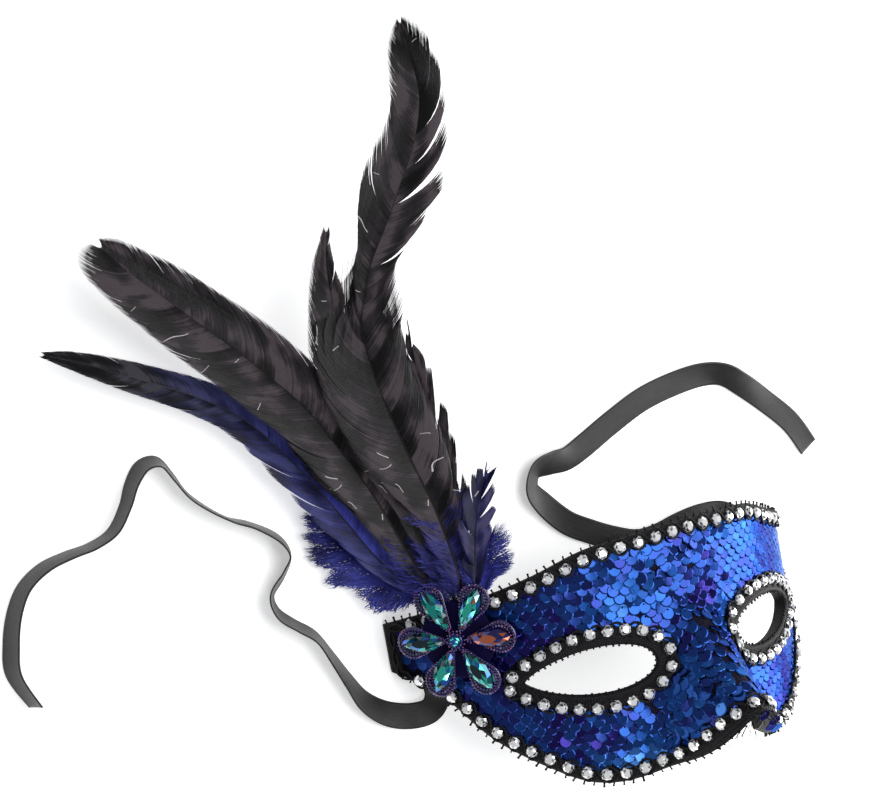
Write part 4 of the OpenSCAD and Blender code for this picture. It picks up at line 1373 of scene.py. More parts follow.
def navette(look):
    """A long stone with pointed ends: girdle, two rings of slanted facets and a narrow table."""
    n = 12
    l, w, h = look.stone_length / 2, look.stone_width / 2, look.stone_height
    rings = [(0.95, 0.0, 0), (1.0, 0.28, 0), (0.74, 0.72, 0.5), (0.42, 1.0, 0)]
    points = []
    for share, z, step in rings:
        a = 2 * np.pi * (np.arange(n) + step) / n
        points += np.column_stack([
            share * l * np.cos(a), share * w * np.sin(a) * np.abs(np.sin(a)) ** 0.45, np.full(n, z * h)
        ]).tolist()
    faces = strip_faces(2, n)
    for ring in (1, 2):
        for j in range(n):
            k = (j + 1) % n
            low, high = (ring * n + j, ring * n + k), ((ring + 1) * n + j, (ring + 1) * n + k)
            if ring == 1:
                faces += [(low[0], low[1], high[0]), (high[0], low[1], high[1])]
            else:
                faces += [(low[0], high[1], high[0]), (low[0], low[1], high[1])]
    faces += [tuple(3 * n + j for j in range(n)), tuple(reversed(range(n)))]
    return np.array(points), faces


def paint_facet_tints_and_glints(piece, rng, moods):
    """Gives every facet of the joined stones a colour of its own, the coating's tint or a painted reflection, in the
    mood of its stone.
    """
    mesh = piece.data
    each = len(mesh.polygons) // len(moods)
    attribute = mesh.attributes.new("flash", "FLOAT", "FACE")
    values = rng.random(len(mesh.polygons))
    for k, mood in enumerate(moods):
        values[k * each : (k + 1) * each] = values[k * each : (k + 1) * each] * (mood[1] - mood[0]) + mood[0]
    attribute.data.foreach_set("value", values.astype(np.float32))


def bead(diameter):
    """A seed bead: a short round barrel with a hole's dimple at each end."""
    r = diameter / 2
    a = circle(8)
    stops = [(-0.62, 0.35), (-0.7, 0.6), (-0.35, 0.95), (0.35, 0.95), (0.7, 0.6), (0.62, 0.35)]
    rings = np.array([[[r * x, r * w * np.cos(t), r * w * np.sin(t)] for t in a] for x, w in stops])
    return small_part("seed_bead", rings.reshape(-1, 3), swept(rings), smooth=True)


# The part of the facet colours, tints and painted reflections, that each petal's stone shows
PETAL_MOODS = [(0.845, 0.99), (0.2, 1.0), (0.0, 0.84), (0.0, 0.8), (0.1, 0.82), (0.0, 0.84)]


def make_flower(look):
    """Six beaded petals, each with a long stone, round a small centre stone, on a felt disc."""
    rng = np.random.default_rng(look.seed)
    place = flower_frame()
    turns = [Matrix.Rotation(math.radians(t), 4, "Z") for t in PETAL_TURNS]

    a = circle(48)
    felt_levels = [(0.97, 0.0), (1.0, 0.0003), (1.0, 0.0007), (0.96, 0.001), (0.4, 0.00105)]
    rough = 1 + 0.012 * np.sin(a * 11) + 0.01 * rng.normal(size=48)
    rings = [level_ring(PETAL_REACH * 0.62 * k * rough, a, z) for k, z in felt_levels]
    disc = make_piece("flower_felt_disc", placed(np.concatenate(rings), place), stacked(rings), navy_felt())
    finish_piece(disc, "felt", "flower_felt")

    plates, stones, beads, bead_up, bead_along = [], [], [], [], []
    points, faces = petal_plate()
    stone_points, stone_faces = navette(look)
    stone_at = look.stone_from + look.stone_length / 2
    stone_points = stone_points + [stone_at, 0, 0]
    up = np.array(place.to_3x3()) @ [0, 0, 1]
    for k, turn in enumerate(turns):
        lift = Matrix.Translation((0, 0, 0.0011 + 0.00015 * (k % 2)))
        plates.append((placed(points, place @ lift @ turn), faces))
        lift = Matrix.Translation((0, 0, 0.0021))
        stones.append((placed(stone_points, place @ lift @ turn), stone_faces))
        for inset, step, height in ((0.0004, 1.1, 0.0024), (0.0018, 1.15, 0.0024)):
            closed = closed_line(petal_outline(inset, 200))
            sums = lengths(closed)
            count = int(sums[-1] / (look.bead * step))
            at = at_length(closed, sums, np.arange(count) * sums[-1] / count)
            ahead = at_length(closed, sums, np.arange(count) * sums[-1] / count + 0.0002)
            flat = np.column_stack([at, np.full(count, height)])
            beads.append(placed(flat, place @ turn))
            bead_up.append(np.broadcast_to(up, (count, 3)))
            bead_along.append(unit(placed(np.column_stack([ahead, flat[:, 2]]), place @ turn) - beads[-1]))
    finish_piece(join_solids("petal_plates_cupped", plates, petal_film()), "petal", "petal_plates")
    jewels = join_solids("petal_jewels", stones, jewel_glass(), smooth=False)
    paint_facet_tints_and_glints(jewels, rng, PETAL_MOODS)
    finish_piece(jewels, "jewel", "petal_stones")
    rims = seat_pieces(
        "petal_bead_strings", bead(look.bead), bead_glass(), np.concatenate(beads), np.concatenate(bead_up),
        np.concatenate(bead_along), wobble=0.15, seed=look.seed,
    )
    finish_piece(rims, "bead", "petal_bead_rims")

    centre = []
    for radius, height, count in ((0.0034, 0.0027, 15), (0.0027, 0.0037, 12)):
        centre.append(level_ring(radius, circle(count), height))
    centre = np.concatenate(centre)
    around = unit(np.cross([0, 0, 1], centre * [1, 1, 0]))
    seats = placed(centre, place)
    ring = seat_pieces(
        "centre_bead_ring", bead(look.bead * 0.9), bead_glass(), seats, up, around @ np.array(place.to_3x3()).T,
        wobble=0.1, seed=look.seed,
    )
    finish_piece(ring, "bead")
    cup_levels = [(2.9, 1.1), (2.95, 2.6), (2.7, 3.3), (2.2, 3.6), (1.9, 3.5)]
    rings = [level_ring(x * MM, circle(24), z * MM) for x, z in cup_levels]
    cup = make_piece(
        "centre_cup", placed(np.concatenate(rings), place), stacked(rings), bead_glass(),
        values={"tone": np.full(24 * len(rings), 0.1)},
    )
    finish_piece(cup, "bead", "flower_centre_cup")
    stone_levels = [(1.9, 3.5, 0), (1.95, 3.95, 0), (1.6, 4.7, 0.5), (0.95, 5.25, 0)]
    rings = [level_ring(x * MM, circle(10, step), z * MM) for x, z, step in stone_levels]
    heart = make_piece(
        "centre_jewel", placed(np.concatenate(rings), place), stacked(rings), jewel_glass(), smooth=False
    )
    paint_facet_tints_and_glints(heart, rng, [(0.42, 0.72)])
    finish_piece(heart, "jewel", "flower_centre_stone")


# ---- plume ----

# Stations of [x, y, z, reach to the left, reach to the right] in millimetres from the mask's edge at the plume's root
TALL_COQUE = [
    [-6, 14, 10, 5, 5], [-12, 37, 13, 10, 11], [-20, 58, 16, 16, 14], [-27, 80, 18, 18, 13],
    [-30, 94, 19, 17, 13], [-31, 106, 20, 14, 13], [-28, 116, 21, 7, 9], [-24, 126, 22, 6, 8],
    [-16, 139, 24, 12, 13], [-10, 150, 26, 13, 13], [-3, 163, 28, 10, 10], [1, 178, 30, 9, 10],
    [-1, 192, 32, 6, 7], [-3, 204, 33, 0.6, 0.6],
]
SPLIT_COQUE = [
    [-9, 14, 5, 4, 4], [-14, 37, 6, 8, 8], [-22, 55, 8, 10, 9], [-28, 68, 10, 10, 9],
    [-33, 83, 11, 10, 7], [-37, 98, 13, 8, 6], [-38, 113, 15, 6, 4], [-38, 128, 16, 3, 2],
    [-36, 140, 17, 0.6, 0.6],
]
SHORT_COQUE = [
    [-3, 17, 10, 3, 4], [-5, 39, 12.5, 7, 7], [-8, 61, 15, 6, 7], [-11, 81, 17, 4, 5],
    [-13, 100, 18, 0.6, 0.6],
]
BROAD_COQUE = [
    [-17, 19, -1, 6, 6], [-30, 47, 2, 11, 11], [-48, 78, 4, 13, 13], [-60, 93, 4, 13, 13],
    [-72, 106, 4, 13, 12], [-84, 118, 4, 12, 11], [-94, 128, 4, 11, 9], [-104, 138, 4, 9, 6],
    [-112, 148, 4, 1, 1],
]
MIDDLE_COQUE = [
    [-17, 17, -4, 5, 5], [-25, 42, -2, 11, 11], [-36, 61, -2, 13, 12], [-47, 79, -2, 10, 10],
    [-56, 91, -2, 6, 6], [-63, 99, -2, 0.6, 0.6],
]
BLUE_HACKLE = [
    [-24, 18, -10, 6, 6], [-37, 39, -10, 9, 9], [-49, 58, -10, 9, 9], [-65, 79, -11, 7, 7],
    [-81, 91, -12, 6, 6], [-102, 102, -13, 5, 5], [-120, 111, -14, 3, 3], [-132, 116, -15, 0.6, 0.6],
]
SIDE_SPRIG = [[-2, 17, 17, 4, 4], [-1, 29, 20, 5, 5], [2, 40, 22, 4, 4], [6, 48, 23, 0.6, 0.6]]
LEFT_FLUFF = [[-21, 9, -15, 7, 6], [-30, 21, -17, 9, 7], [-38, 32, -18, 7, 6], [-45, 42, -18, 0.8, 0.8]]
RIGHT_FLUFF = [[1, 10, 14, 5, 5], [4, 18, 15, 6, 6], [7, 25, 16, 0.8, 0.8]]


class Feather:
    """One feather's line, its frame along the line and its reach to each side."""

    def __init__(self, quill, stations):
        brow = float(line_y(BROW_LINE, -FLOWER_S / HALF_SPAN))
        root = base_point(FLOWER_S, brow)
        offset = (quill - (QUILLS - 1) / 2) * QUILL_PITCH
        start = [
            [*face_point(FLOWER_S + offset * fan, y, QUILL_LEVEL), 0.0008, 0.0008]
            for y, fan in ((FLOWER_Y + 0.003, 1.0), (brow + 0.002, QUILL_FAN))
        ]
        blade = np.array(stations, float) * MM
        blade[:, :3] += root
        self.line = smooth(np.concatenate([start, blade]), 12)
        self.sums = lengths(self.line[:, :3])
        self.total = float(self.sums[-1])
        self.root = float(self.sums[14])
        along = unit(np.gradient(self.line[:, :3], axis=0))
        side = unit(np.cross(along, [-0.45, 0.1, 0.9]))
        self.frames = np.concatenate([along, side, np.cross(side, along)], axis=1)

    def reach(self, a, sign):
        return np.interp(a, self.sums, self.line[:, 3 if sign < 0 else 4])

    def point(self, a, b, h):
        """The point at a along the shaft, b to the right of it and h in front of it."""
        centre = at_length(self.line[:, :3], self.sums, a)
        frames = at_length(self.frames, self.sums, a)
        past = np.maximum(0, a - self.total)[..., None]
        return centre + past * frames[..., :3] + b[..., None] * frames[..., 3:6] + h[..., None] * frames[..., 6:]


def barb_groups(rng, start, end, shortest, longest):
    """Where the vane's locks of barbs part, as distances along the shaft."""
    parts = [start]
    while parts[-1] < end:
        parts.append(parts[-1] + rng.uniform(shortest, longest))
    return np.array(parts)


def vane(feather, sign, kind, look, rng):
    """The barbs of one side: (ring, point) arrays of places, UVs, tones and dyes."""
    start = feather.root + kind.get("bare", 0.0)
    pitch = kind.get("pitch", look.barb_pitch)
    end = mix(start, feather.total, kind.get("until", 1.0)) - 0.0015
    a0 = np.arange(start, end, pitch)
    n = len(a0)
    share = (a0 - start) / (feather.total - start)
    parts = barb_groups(rng, start, feather.total, *kind.get("locks", (0.006, 0.015)))
    lock = np.clip(np.searchsorted(parts, a0, side="right") - 1, 0, len(parts) - 2)
    middle, half = (parts[lock] + parts[lock + 1]) / 2, (parts[lock + 1] - parts[lock]) / 2
    q = (a0 - middle) / half
    wild = np.broadcast_to(kind["wild"](share, sign), n)
    locks = len(parts)
    pull = (0.1 + 0.8 * rng.random(locks))[lock] * np.minimum(1, wild)
    lift = rng.normal(0, 0.0006, locks)[lock] * (0.2 + wild)
    short = rng.random(locks)[lock] * 0.24 * wild
    swing = rng.normal(0, 0.14, locks)[lock] * wild
    wide = np.maximum(feather.reach(a0, sign), kind.get("least", 0.0))
    sweep = kind.get("sweep", 1.9) * (1 + swing) * wide
    tip_reach = feather.reach(np.minimum(a0 + kind.get("blunt", 0.6) * sweep, feather.total), sign)
    tip_reach = np.maximum(tip_reach, kind.get("least", 0.0))
    tip = 1.05 * tip_reach * (1 - short) * (1 - 0.2 * wild**1.5 * np.abs(q) ** 2) * (1 - 0.03 * rng.random(n))
    tip *= kind.get("spread", 1.0)
    m = kind.get("rings", 8)
    u = np.linspace(0, 1, m)[None, :]
    bow = mix(0.62, 0.3, np.minimum(1, wild))[:, None]
    a = a0[:, None] + sweep[:, None] * mix(u, u**2, 0.75 * bow) - (pull * q * half)[:, None] * u**1.6
    b = tip[:, None] * ((1 + bow) * u - bow * u**2)
    h = lift[:, None] * u**2 - kind.get("camber", 0.16) * b * u
    curl = kind.get("curl", 0.0)
    if curl:
        phase = rng.uniform(0, 2 * np.pi, (3, n, 1))
        rate = rng.uniform(3, 9, (3, n, 1))
        size = curl * u
        a = a + size * np.sin(rate[0] * u + phase[0]) - size * 0.4
        b = b * (1 + 0.25 * np.sin(rate[1] * u + phase[1]))
        h = h + size * 1.3 * np.sin(rate[2] * u + phase[2])
    thick = kind.get("barb", 1.7 * pitch)
    wide_at = thick / 2 * (1 + 0.5 * u) * np.where(u > 0.99, 0.25, 1.0)
    deep = kind.get("deep", 0.00022) * (1 - 0.6 * u)
    corner_a = np.stack([a - wide_at, a + wide_at, a], axis=-1)
    corner_b = np.stack([b, b, b], axis=-1) * sign
    corner_h = np.stack([h, h, h + deep], axis=-1)
    places = feather.point(corner_a, corner_b, corner_h)
    uv = np.stack([corner_a, corner_b], axis=-1)
    drift = np.convolve(rng.normal(0, 1, n + 16), np.ones(9) / 3, "same")[8 : n + 8]
    tint = rng.normal(0.42, 0.16, locks)[lock] + 0.13 * drift + rng.normal(0, 0.07, n)
    # painted sheen: lighter and darker streaks along each barb, put into its tone
    sheen = 0.22 * np.sin(9 * u + 40 * a0[:, None] + 2 * rng.random(locks)[lock][:, None])
    tone = np.clip(tint[:, None] + sheen, 0, 1)[..., None] * np.ones_like(corner_a)
    dye = kind["dye"](share, sign) if "dye" in kind else np.zeros(n)
    dye = np.clip(dye + rng.normal(0, 0.06, n) * (dye > 0), 0, 1)[:, None, None] * np.ones_like(corner_a)
    return places, uv, tone, dye


def barb_faces(barbs, rings, first):
    """Faces of many three-sided barbs, each a row of rings."""
    one = np.array([f for f in strip_faces(rings, 3)])
    ids = first + np.arange(barbs)[:, None, None] * rings * 3 + one[None]
    ends = np.array([[0, 1, 2], [3 * rings - 1, 3 * rings - 2, 3 * rings - 3]])
    caps = first + np.arange(barbs)[:, None, None] * rings * 3 + ends[None]
    return ids.reshape(-1, 4).tolist() + caps.reshape(-1, 3).tolist()


def shaft(feather, kind, look):
    """The quill and shaft: a tube that tapers to the tip."""
    stations, around = 90, 6
    a = np.linspace(0, feather.total - 0.0005, stations)
    share = a / feather.total
    r = mix(look.shaft / 2, 0.00008, share**0.8)
    t = circle(around)
    aa = np.broadcast_to(a[:, None], (stations, around))
    places = feather.point(aa, r[:, None] * np.cos(t), r[:, None] * np.sin(t) + 0.00005)
    foot_tone = kind.get("shaft_tone", 0.1)
    toward_tip = np.clip((share[:, None] - 0.5) * 3, 0, 1)
    tone = mix(foot_tone, kind.get("shaft_tip_tone", foot_tone), toward_tip) * np.ones((stations, around))
    dye = np.full((stations, around), kind.get("shaft_dye", 0.0))
    uv = np.stack([aa, np.broadcast_to(0.0004 * t, (stations, around))], axis=-1)
    return places, uv, tone, dye


def make_feather(node, kind, look):
    """One feather with its shaft and every barb of both vanes."""
    feather = Feather(kind["quill"], kind["stations"])
    rng = np.random.default_rng(look.seed + kind["quill"])
    places, uv, tone, dye = shaft(feather, kind, look)
    faces = swept(places)
    rows = [(places, uv, tone, dye)]
    first = places.shape[0] * places.shape[1]
    layers = [kind] * kind.get("layers", 1)
    if "down" in kind:
        layers.append({**DOWN, "until": kind["down"]})
    for sign in (-1, 1):
        for layer in layers:
            row = vane(feather, sign, layer, look, rng)
            barbs, rings = row[0].shape[:2]
            faces += barb_faces(barbs, rings, first)
            first += barbs * rings * 3
            rows.append(row)
    flat = [
        np.concatenate([row[k].reshape(-1, row[k].shape[-1] if k < 2 else 1) for row in rows]) for k in range(4)
    ]
    piece = make_piece(
        kind["name"], flat[0], faces, blue_plumage() if kind["slot"] == "blue_feather" else black_plumage(),
        uv=flat[1], smooth=False, values={"tone": flat[2][:, 0], "dye": flat[3][:, 0]},
    )
    finish_piece(piece, kind["slot"], node)


def between(share, low, high):
    """1 inside a range of shares and 0 well outside it."""
    return np.clip((share - low) * 12, 0, 1) * np.clip((high - share) * 12, 0, 1)


# The curly down at the foot of a coque feather
DOWN = {
    "bare": -0.004, "sweep": 1.1, "pitch": 0.00018, "barb": 0.0002, "deep": 0.0001, "rings": 8, "curl": 0.0012,
    "least": 0.008, "wild": lambda share, sign: np.full(len(share), 1.0),
    "dye": lambda share, sign: np.full(len(share), 0.85),
}
COQUE = {"slot": "black_feather", "down": 0.16}
MARABOU = {
    "slot": "blue_feather", "barb": 0.00019, "deep": 0.0001, "rings": 8, "layers": 3, "shaft_dye": 1.0,
    "wild": lambda share, sign: np.full(len(share), 1.0),
}
# Each feather's character: how its locks part, how wild each vane is and where the dye shows
FEATHERS = {
    "tall_coque_feather": {
        **COQUE, "name": "tall_coque_barbs", "quill": 5, "stations": TALL_COQUE, "sweep": 1.7,
        "wild": lambda share, sign: 0.08 + 0.6 * between(share, 0.55, 0.94) * (sign > 0) + 0.3 * (share < 0.2),
        "dye": lambda share, sign: 0.5 * (share < 0.1),
    },
    "split_coque_feather": {
        **COQUE, "name": "split_coque_barbs", "quill": 4, "stations": SPLIT_COQUE, "sweep": 2.2,
        "wild": lambda share, sign: 0.08 + 0.28 * (sign > 0), "locks": (0.008, 0.02), "spread": 1.18,
        "dye": lambda share, sign: 0.5 * (share < 0.12),
    },
    "short_coque_feather": {
        **COQUE, "name": "short_coque_barbs", "quill": 6, "stations": SHORT_COQUE, "sweep": 2.4,
        "wild": lambda share, sign: 0.4 + 0.5 * (sign > 0), "locks": (0.01, 0.018),
        "dye": lambda share, sign: 0.6 * (share < 0.25),
    },
    "broad_coque_feather": {
        **COQUE, "name": "broad_coque_barbs", "quill": 3, "stations": BROAD_COQUE, "sweep": 1.75, "blunt": 0.3,
        "wild": lambda share, sign: 0.06 + 0.2 * (share < 0.4),
    },
    "middle_coque_feather": {
        **COQUE, "name": "middle_coque_barbs", "quill": 2, "stations": MIDDLE_COQUE, "sweep": 1.8,
        "wild": lambda share, sign: 0.16 + 0.35 * (share < 0.25), "dye": lambda share, sign: 0.35 * (share < 0.15),
    },
    "blue_hackle_feather": {
        "name": "blue_hackle_barbs", "slot": "blue_feather", "quill": 1, "stations": BLUE_HACKLE, "sweep": 2.0,
        "wild": lambda share, sign: 0.1 + 0.5 * (share < 0.45) * (sign < 0),
        "dye": lambda share, sign: np.clip(1.6 - 2.1 * share, 0, 1) * (0.95 if sign > 0 else 0.4),
        "shaft_tone": 0.3, "shaft_tip_tone": 1.3,
    },
    "side_sprig_feather": {
        "name": "side_sprig_barbs", "slot": "black_feather", "quill": 7, "stations": SIDE_SPRIG, "sweep": 2.0,
        "wild": lambda share, sign: np.full(len(share), 0.9), "locks": (0.006, 0.011), "spread": 1.35,
        "dye": lambda share, sign: 0.3 + 0.0 * share,
    },
    "left_marabou": {
        **MARABOU, "name": "left_marabou_down", "quill": 0, "stations": LEFT_FLUFF, "sweep": 1.1, "curl": 0.0011,
        "pitch": 0.00014, "spread": 1.35, "dye": lambda share, sign: 0.85 - 0.25 * share,
    },
    "right_marabou": {
        **MARABOU, "name": "right_marabou_down", "quill": 8, "stations": RIGHT_FLUFF, "sweep": 1.4, "curl": 0.0012,
        "pitch": 0.00009, "barb": 0.00017, "spread": 1.5, "dye": lambda share, sign: 0.95 - 0.2 * share,
    },
}


# ---- soft patches and their stitches ----


# How far in the edge of a felt patch is at each share of its thickness
FELT_SECTION = [(0.0006, 0.0), (0.0001, 0.25), (0.0, 0.6), (0.0003, 0.9), (0.0012, 1.0), (0.003, 0.97)]
# A sewn bar: half its width, its distance from the patch's middle, and one thread loop's parts
BAR_HALF = 0.0031
BAR_Y = 0.0045
BAR_LEVEL = 0.00035
LOOP_HALF = 0.0006
LOOP_RISE = 0.0004
LOOP_SUNK = 0.0002
THREAD_R = 0.00018


def soft_slab(long, wide, thick, matrix, name, material, n=40):
    """A felt patch with rounded corners and rounded edges, centred on its own base."""
    t = circle(n)
    corner = 0.22
    x = np.sign(np.cos(t)) * np.abs(np.cos(t)) ** corner
    y = np.sign(np.sin(t)) * np.abs(np.sin(t)) ** corner
    rings = []
    for inset, level in FELT_SECTION:
        across, up = x * (wide / 2 - inset), y * (long / 2 - inset)
        rings.append(np.column_stack([across, up, np.full(n, level * thick)]))
    return make_piece(name, placed(np.concatenate(rings), matrix), stacked(rings), material)


def inside_place(side, level):
    """The place of a ribbon patch inside a temple."""
    turn = Matrix.Rotation(side * TEMPLE_TURN, 4, "Y")
    return Matrix.Translation(face_point(side * PATCH_S, PATCH_Y, -level)) @ turn


def make_patches(look):
    """Felt patches that hold the ribbons, the felt pad over the quills, and the sewn bars."""
    for side, name in ((-1, "left"), (1, "right")):
        patch = soft_slab(PATCH_L, PATCH_W, PATCH_T, inside_place(side, 0.001), name + "_patch_felt", black_felt())
        finish_piece(patch, "felt", name + "_ribbon_patch")
        place = inside_place(side, 0.0018)
        x = np.linspace(-BAR_HALF, BAR_HALF, look.stitches)
        places = np.concatenate([
            placed(np.column_stack([x, np.full(len(x), y), np.full(len(x), BAR_LEVEL)]), place)
            for y in (-BAR_Y, BAR_Y)
        ])
        turn = np.array(place.to_3x3())
        t = np.linspace(0, np.pi, 7)
        arch = np.stack([-LOOP_HALF * np.cos(t), np.zeros(7), LOOP_RISE * np.sin(t) - LOOP_SUNK], axis=1)
        a = circle(5)
        rings = np.array([
            [
                [x - THREAD_R * np.cos(q) * np.cos(s), THREAD_R * np.sin(s), z + THREAD_R * np.sin(q) * np.cos(s)]
                for s in a
            ]
            for (x, _, z), q in zip(arch, t)
        ])
        loop = small_part("stitch_loop", rings.reshape(-1, 3), swept(rings), smooth=True)
        bars = seat_pieces(
            name + "_sewn_bars", loop, binding_tape(), places, turn @ [0, 0, -1], turn @ [0.5, 0.87, 0], wobble=0.12,
            seed=look.seed,
        )
        finish_piece(bars, "binding", name + "_ribbon_stitches")
    place = flower_frame() @ Matrix.Translation((0, 0.0083, -0.00095))
    pad = soft_slab(0.0086, 0.0171, 0.0009, place, "quill_pad_felt", navy_felt())
    finish_piece(pad, "felt", "quill_pad")


# ---- settings, operators and panel ----


class MASK_PG_stage(bpy.types.PropertyGroup):
    """Camera and light."""

    lens: FloatProperty(
        name="Lens", description="Focal length of the camera in millimetres", default=85.3, min=20
    )
    camera_at: FloatVectorProperty(
        name="Camera place", description="Where the camera stands", default=(-0.4242, 0.178, 0.6733), subtype="XYZ",
        unit="LENGTH",
    )
    camera_aim: FloatVectorProperty(
        name="Camera aim", description="Point that the camera looks at", default=(-0.0878, 0.109, 0.0686),
        subtype="XYZ", unit="LENGTH",
    )
    camera_up: FloatVectorProperty(
        name="Camera up", description="Upward direction in the view", default=(0.2027, 0.9792, 0.0), subtype="XYZ"
    )
    floor_color: FloatVectorProperty(
        name="Floor colour", description="Colour of the table", default=(0.9, 0.9, 0.9), subtype="COLOR", min=0, max=1
    )
    floor_glow: FloatProperty(
        name="Floor glow", description="How far the table lights itself", default=0.4, min=0
    )
    ambient: FloatProperty(
        name="Daylight", description="Strength of the light from all round", default=0.3, min=0
    )
    overhead: FloatProperty(name="Overhead box", description="Light above", default=11.0, min=0, unit="POWER")
    side: FloatProperty(
        name="Side box", description="Light from the right", default=11.0, min=0, unit="POWER"
    )
    front: FloatProperty(
        name="Front box", description="Light from below left", default=3.0, min=0, unit="POWER"
    )


class MASK_PG_sequins(bpy.types.PropertyGroup):
    """Sequins sewn to the face."""

    diameter: FloatProperty(name="Diameter", description="Across one sequin", default=0.0048, unit="LENGTH")
    hole: FloatProperty(name="Hole", description="Across the sewing hole", default=0.0007, unit="LENGTH")
    cup: FloatProperty(
        name="Cup", description="How deep one sequin is cupped", default=0.00018, unit="LENGTH"
    )
    pitch: FloatProperty(
        name="Pitch", description="From one sequin to the next in a row", default=0.0041, unit="LENGTH"
    )
    row_pitch: FloatProperty(
        name="Row pitch", description="From one row to the next", default=0.0025, unit="LENGTH"
    )
    tilt: FloatProperty(
        name="Tilt", description="How far the free lower edge stands up", default=math.radians(8), unit="ROTATION"
    )
    wobble: FloatProperty(
        name="Wobble", description="Greatest turn of one sequin at random", default=math.radians(13), unit="ROTATION"
    )
    # The film runs from the deep colour to the bright one and on to the glint colour, a painted highlight; random tone
    # and painted light and shade pick the place on it.
    deep_color: FloatVectorProperty(
        name="Deep colour", description="Darkest film", default=(0.016, 0.01, 0.13), subtype="COLOR", min=0, max=1
    )
    bright_color: FloatVectorProperty(
        name="Bright colour", description="Brightest film", default=(0.012, 0.07, 0.3), subtype="COLOR", min=0, max=1
    )
    glint_color: FloatVectorProperty(
        name="Glint colour", description="Film of the palest sequins", default=(0.06, 0.2, 0.6), subtype="COLOR",
        min=0, max=1,
    )
    seed: IntProperty(name="Seed", description="Picks the places of loose sequins", default=3)


class MASK_PG_stones(bpy.types.PropertyGroup):
    """Rhinestones."""

    diameter: FloatProperty(
        name="Diameter", description="Across one rhinestone", default=0.0046, unit="LENGTH"
    )
    height: FloatProperty(
        name="Height", description="Height of one rhinestone", default=0.0018, unit="LENGTH"
    )
    wobble: FloatProperty(
        name="Wobble", description="Greatest lean of one stone", default=math.radians(7), unit="ROTATION"
    )
    seed: IntProperty(name="Seed", description="Picks how each stone is turned", default=5)


class MASK_PG_braid(bpy.types.PropertyGroup):
    """Braids under the rhinestones."""

    strand: FloatProperty(
        name="Strand", description="Radius of a woven strand", default=0.00045, unit="LENGTH"
    )
    strand_reach: FloatProperty(
        name="Strand reach", description="How far a strand swings from the stones' line", default=0.0028, unit="LENGTH"
    )
    prong: FloatProperty(
        name="Prong", description="Length of a thread loop on the edge", default=0.0017, unit="LENGTH"
    )
    prong_thickness: FloatProperty(
        name="Prong thickness", description="Radius of a thread loop on the edge", default=0.0004, unit="LENGTH"
    )
    tuft: IntProperty(name="Tuft", description="Loose thread ends under the nose", default=46, min=1)
    tuft_length: FloatProperty(
        name="Tuft length", description="Length of a loose thread end", default=0.0048, unit="LENGTH"
    )
    seed: IntProperty(name="Seed", description="Picks how each loop leans", default=7)


class MASK_PG_flower(bpy.types.PropertyGroup):
    """The jewelled flower."""

    stone_from: FloatProperty(
        name="Stone start", description="From the middle to a petal's stone", default=0.0052, unit="LENGTH"
    )
    stone_length: FloatProperty(
        name="Stone length", description="Length of a petal's stone", default=0.0158, unit="LENGTH"
    )
    stone_width: FloatProperty(
        name="Stone width", description="Width of a petal's stone", default=0.0074, unit="LENGTH"
    )
    stone_height: FloatProperty(
        name="Stone height", description="Height of a petal's stone", default=0.0028, unit="LENGTH"
    )
    bead: FloatProperty(name="Bead", description="Diameter of a seed bead", default=0.001, unit="LENGTH")
    # each facet's flash is its coating's tint or a painted reflection
    seed: IntProperty(name="Seed", description="Picks the flash of each facet", default=11)


class MASK_PG_plume(bpy.types.PropertyGroup):
    """The feathers."""

    barb_pitch: FloatProperty(
        name="Barb pitch", description="From one barb to the next", default=0.0005, unit="LENGTH"
    )
    shaft: FloatProperty(
        name="Shaft", description="Diameter of a shaft at its quill", default=0.0011, unit="LENGTH"
    )
    seed: IntProperty(name="Seed", description="Picks how the locks of barbs part", default=21)


class MASK_PG_ribbons(bpy.types.PropertyGroup):
    """The tie ribbons and the patches that hold them."""

    width: FloatProperty(name="Width", description="Width of a ribbon", default=0.0095, unit="LENGTH")
    thickness: FloatProperty(
        name="Thickness", description="Thickness of a ribbon", default=0.00035, unit="LENGTH"
    )
    color: FloatVectorProperty(
        name="Colour", description="Colour of the satin", default=(0.004, 0.0034, 0.0034), subtype="COLOR", min=0, max=1
    )
    stitches: IntProperty(name="Stitches", description="Thread loops in a sewn bar", default=7, min=2)
    seed: IntProperty(name="Seed", description="Picks how each loop leans", default=13)


class MASK_OT_stage(bpy.types.Operator):
    """Set the floor, the lights and the camera"""

    bl_idname = "mask.stage"
    bl_label = "Stage"

    def execute(self, context):
        set_stage(context.scene.mask_stage)
        return {"FINISHED"}


class MASK_OT_ribbons(bpy.types.Operator):
    """Make the two satin tie ribbons"""

    bl_idname = "mask.ribbons"
    bl_label = "Ribbons"

    def execute(self, context):
        look = context.scene.mask_ribbons
        make_ribbon("left_ribbon", LEFT_ROUTE, look)
        make_ribbon("right_ribbon", RIGHT_ROUTE, look)
        return {"FINISHED"}


class MASK_OT_face(bpy.types.Operator):
    """Make the lining, the shell, the net and the bound eye holes"""

    bl_idname = "mask.face"
    bl_label = "Face"

    def execute(self, context):
        make_face()
        return {"FINISHED"}


class MASK_OT_sequins(bpy.types.Operator):
    """Sew the sequins to the face"""

    bl_idname = "mask.sequins"
    bl_label = "Sequins"

    def execute(self, context):
        make_sequins(context.scene.mask_sequins)
        return {"FINISHED"}


class MASK_OT_braid(bpy.types.Operator):
    """Make the braids of the outer edge and the eye holes"""

    bl_idname = "mask.braid"
    bl_label = "Braid"

    def execute(self, context):
        make_braid(context.scene.mask_braid)
        make_tuft(context.scene.mask_braid)
        return {"FINISHED"}


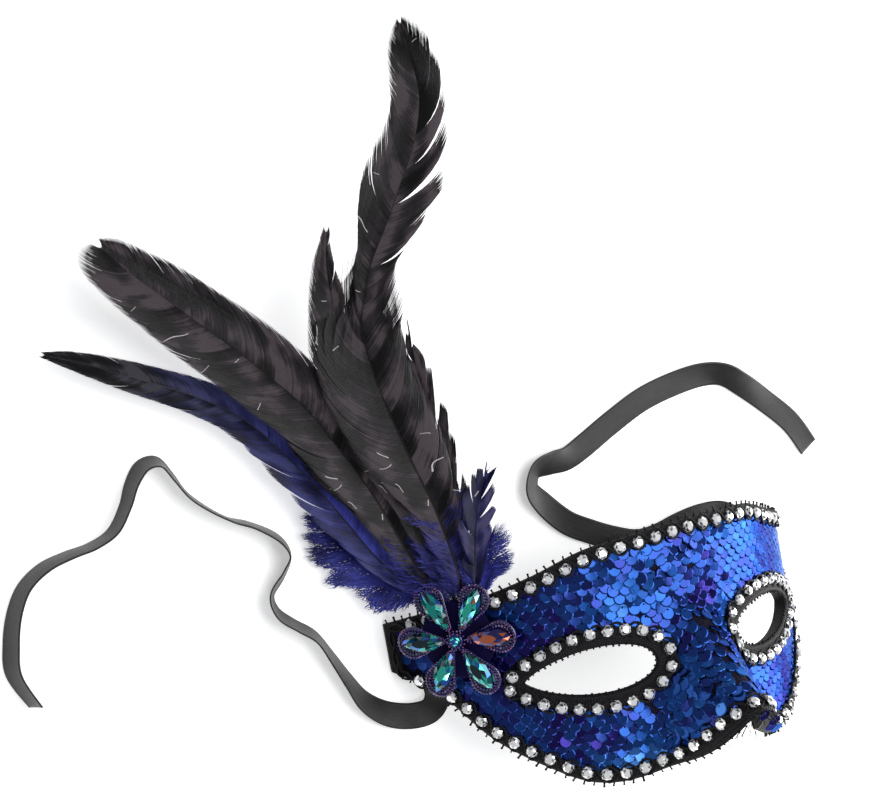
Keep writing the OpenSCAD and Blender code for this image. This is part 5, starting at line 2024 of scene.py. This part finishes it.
class MASK_OT_stones(bpy.types.Operator):
    """Set the four rows of rhinestones"""

    bl_idname = "mask.stones"
    bl_label = "Rhinestones"

    def execute(self, context):
        make_stones(context.scene.mask_stones)
        return {"FINISHED"}


class MASK_OT_flower(bpy.types.Operator):
    """Make the beaded flower with its long stones"""

    bl_idname = "mask.flower"
    bl_label = "Flower"

    def execute(self, context):
        make_flower(context.scene.mask_flower)
        return {"FINISHED"}


class MASK_OT_plume(bpy.types.Operator):
    """Make the feathers and the down"""

    bl_idname = "mask.plume"
    bl_label = "Plume"

    def execute(self, context):
        for node, kind in FEATHERS.items():
            make_feather(node, kind, context.scene.mask_plume)
        return {"FINISHED"}


class MASK_OT_patches(bpy.types.Operator):
    """Make the felt patches and their stitches"""

    bl_idname = "mask.patches"
    bl_label = "Patches and stitches"

    def execute(self, context):
        make_patches(context.scene.mask_ribbons)
        return {"FINISHED"}


class MASK_PT_panel(bpy.types.Panel):
    """Lists the pieces of the mask"""

    bl_idname = "MASK_PT_panel"
    bl_label = "Masquerade mask"
    bl_space_type = "VIEW_3D"
    bl_region_type = "UI"
    bl_category = "Mask"

    def draw(self, context):
        for operator in OPERATORS:
            self.layout.operator(operator.bl_idname)


SETTINGS = {
    "mask_stage": MASK_PG_stage, "mask_ribbons": MASK_PG_ribbons, "mask_sequins": MASK_PG_sequins,
    "mask_braid": MASK_PG_braid, "mask_stones": MASK_PG_stones, "mask_flower": MASK_PG_flower,
    "mask_plume": MASK_PG_plume,
}
OPERATORS = (
    MASK_OT_stage, MASK_OT_ribbons, MASK_OT_face, MASK_OT_sequins, MASK_OT_braid, MASK_OT_stones, MASK_OT_flower,
    MASK_OT_plume, MASK_OT_patches,
)


def register():
    for group in SETTINGS.values():
        bpy.utils.register_class(group)
    for label, group in SETTINGS.items():
        setattr(bpy.types.Scene, label, PointerProperty(type=group))
    for operator in OPERATORS:
        bpy.utils.register_class(operator)
    bpy.utils.register_class(MASK_PT_panel)


def unregister():
    bpy.utils.unregister_class(MASK_PT_panel)
    for operator in reversed(OPERATORS):
        bpy.utils.unregister_class(operator)
    for label in SETTINGS:
        delattr(bpy.types.Scene, label)
    for group in SETTINGS.values():
        bpy.utils.unregister_class(group)


def main():
    register()
    bpy.ops.mask.stage()
    bpy.ops.mask.ribbons()
    bpy.ops.mask.face()
    bpy.ops.mask.sequins()
    bpy.ops.mask.braid()
    bpy.ops.mask.stones()
    bpy.ops.mask.flower()
    bpy.ops.mask.plume()
    bpy.ops.mask.patches()


if __name__ == "__main__":
    main()
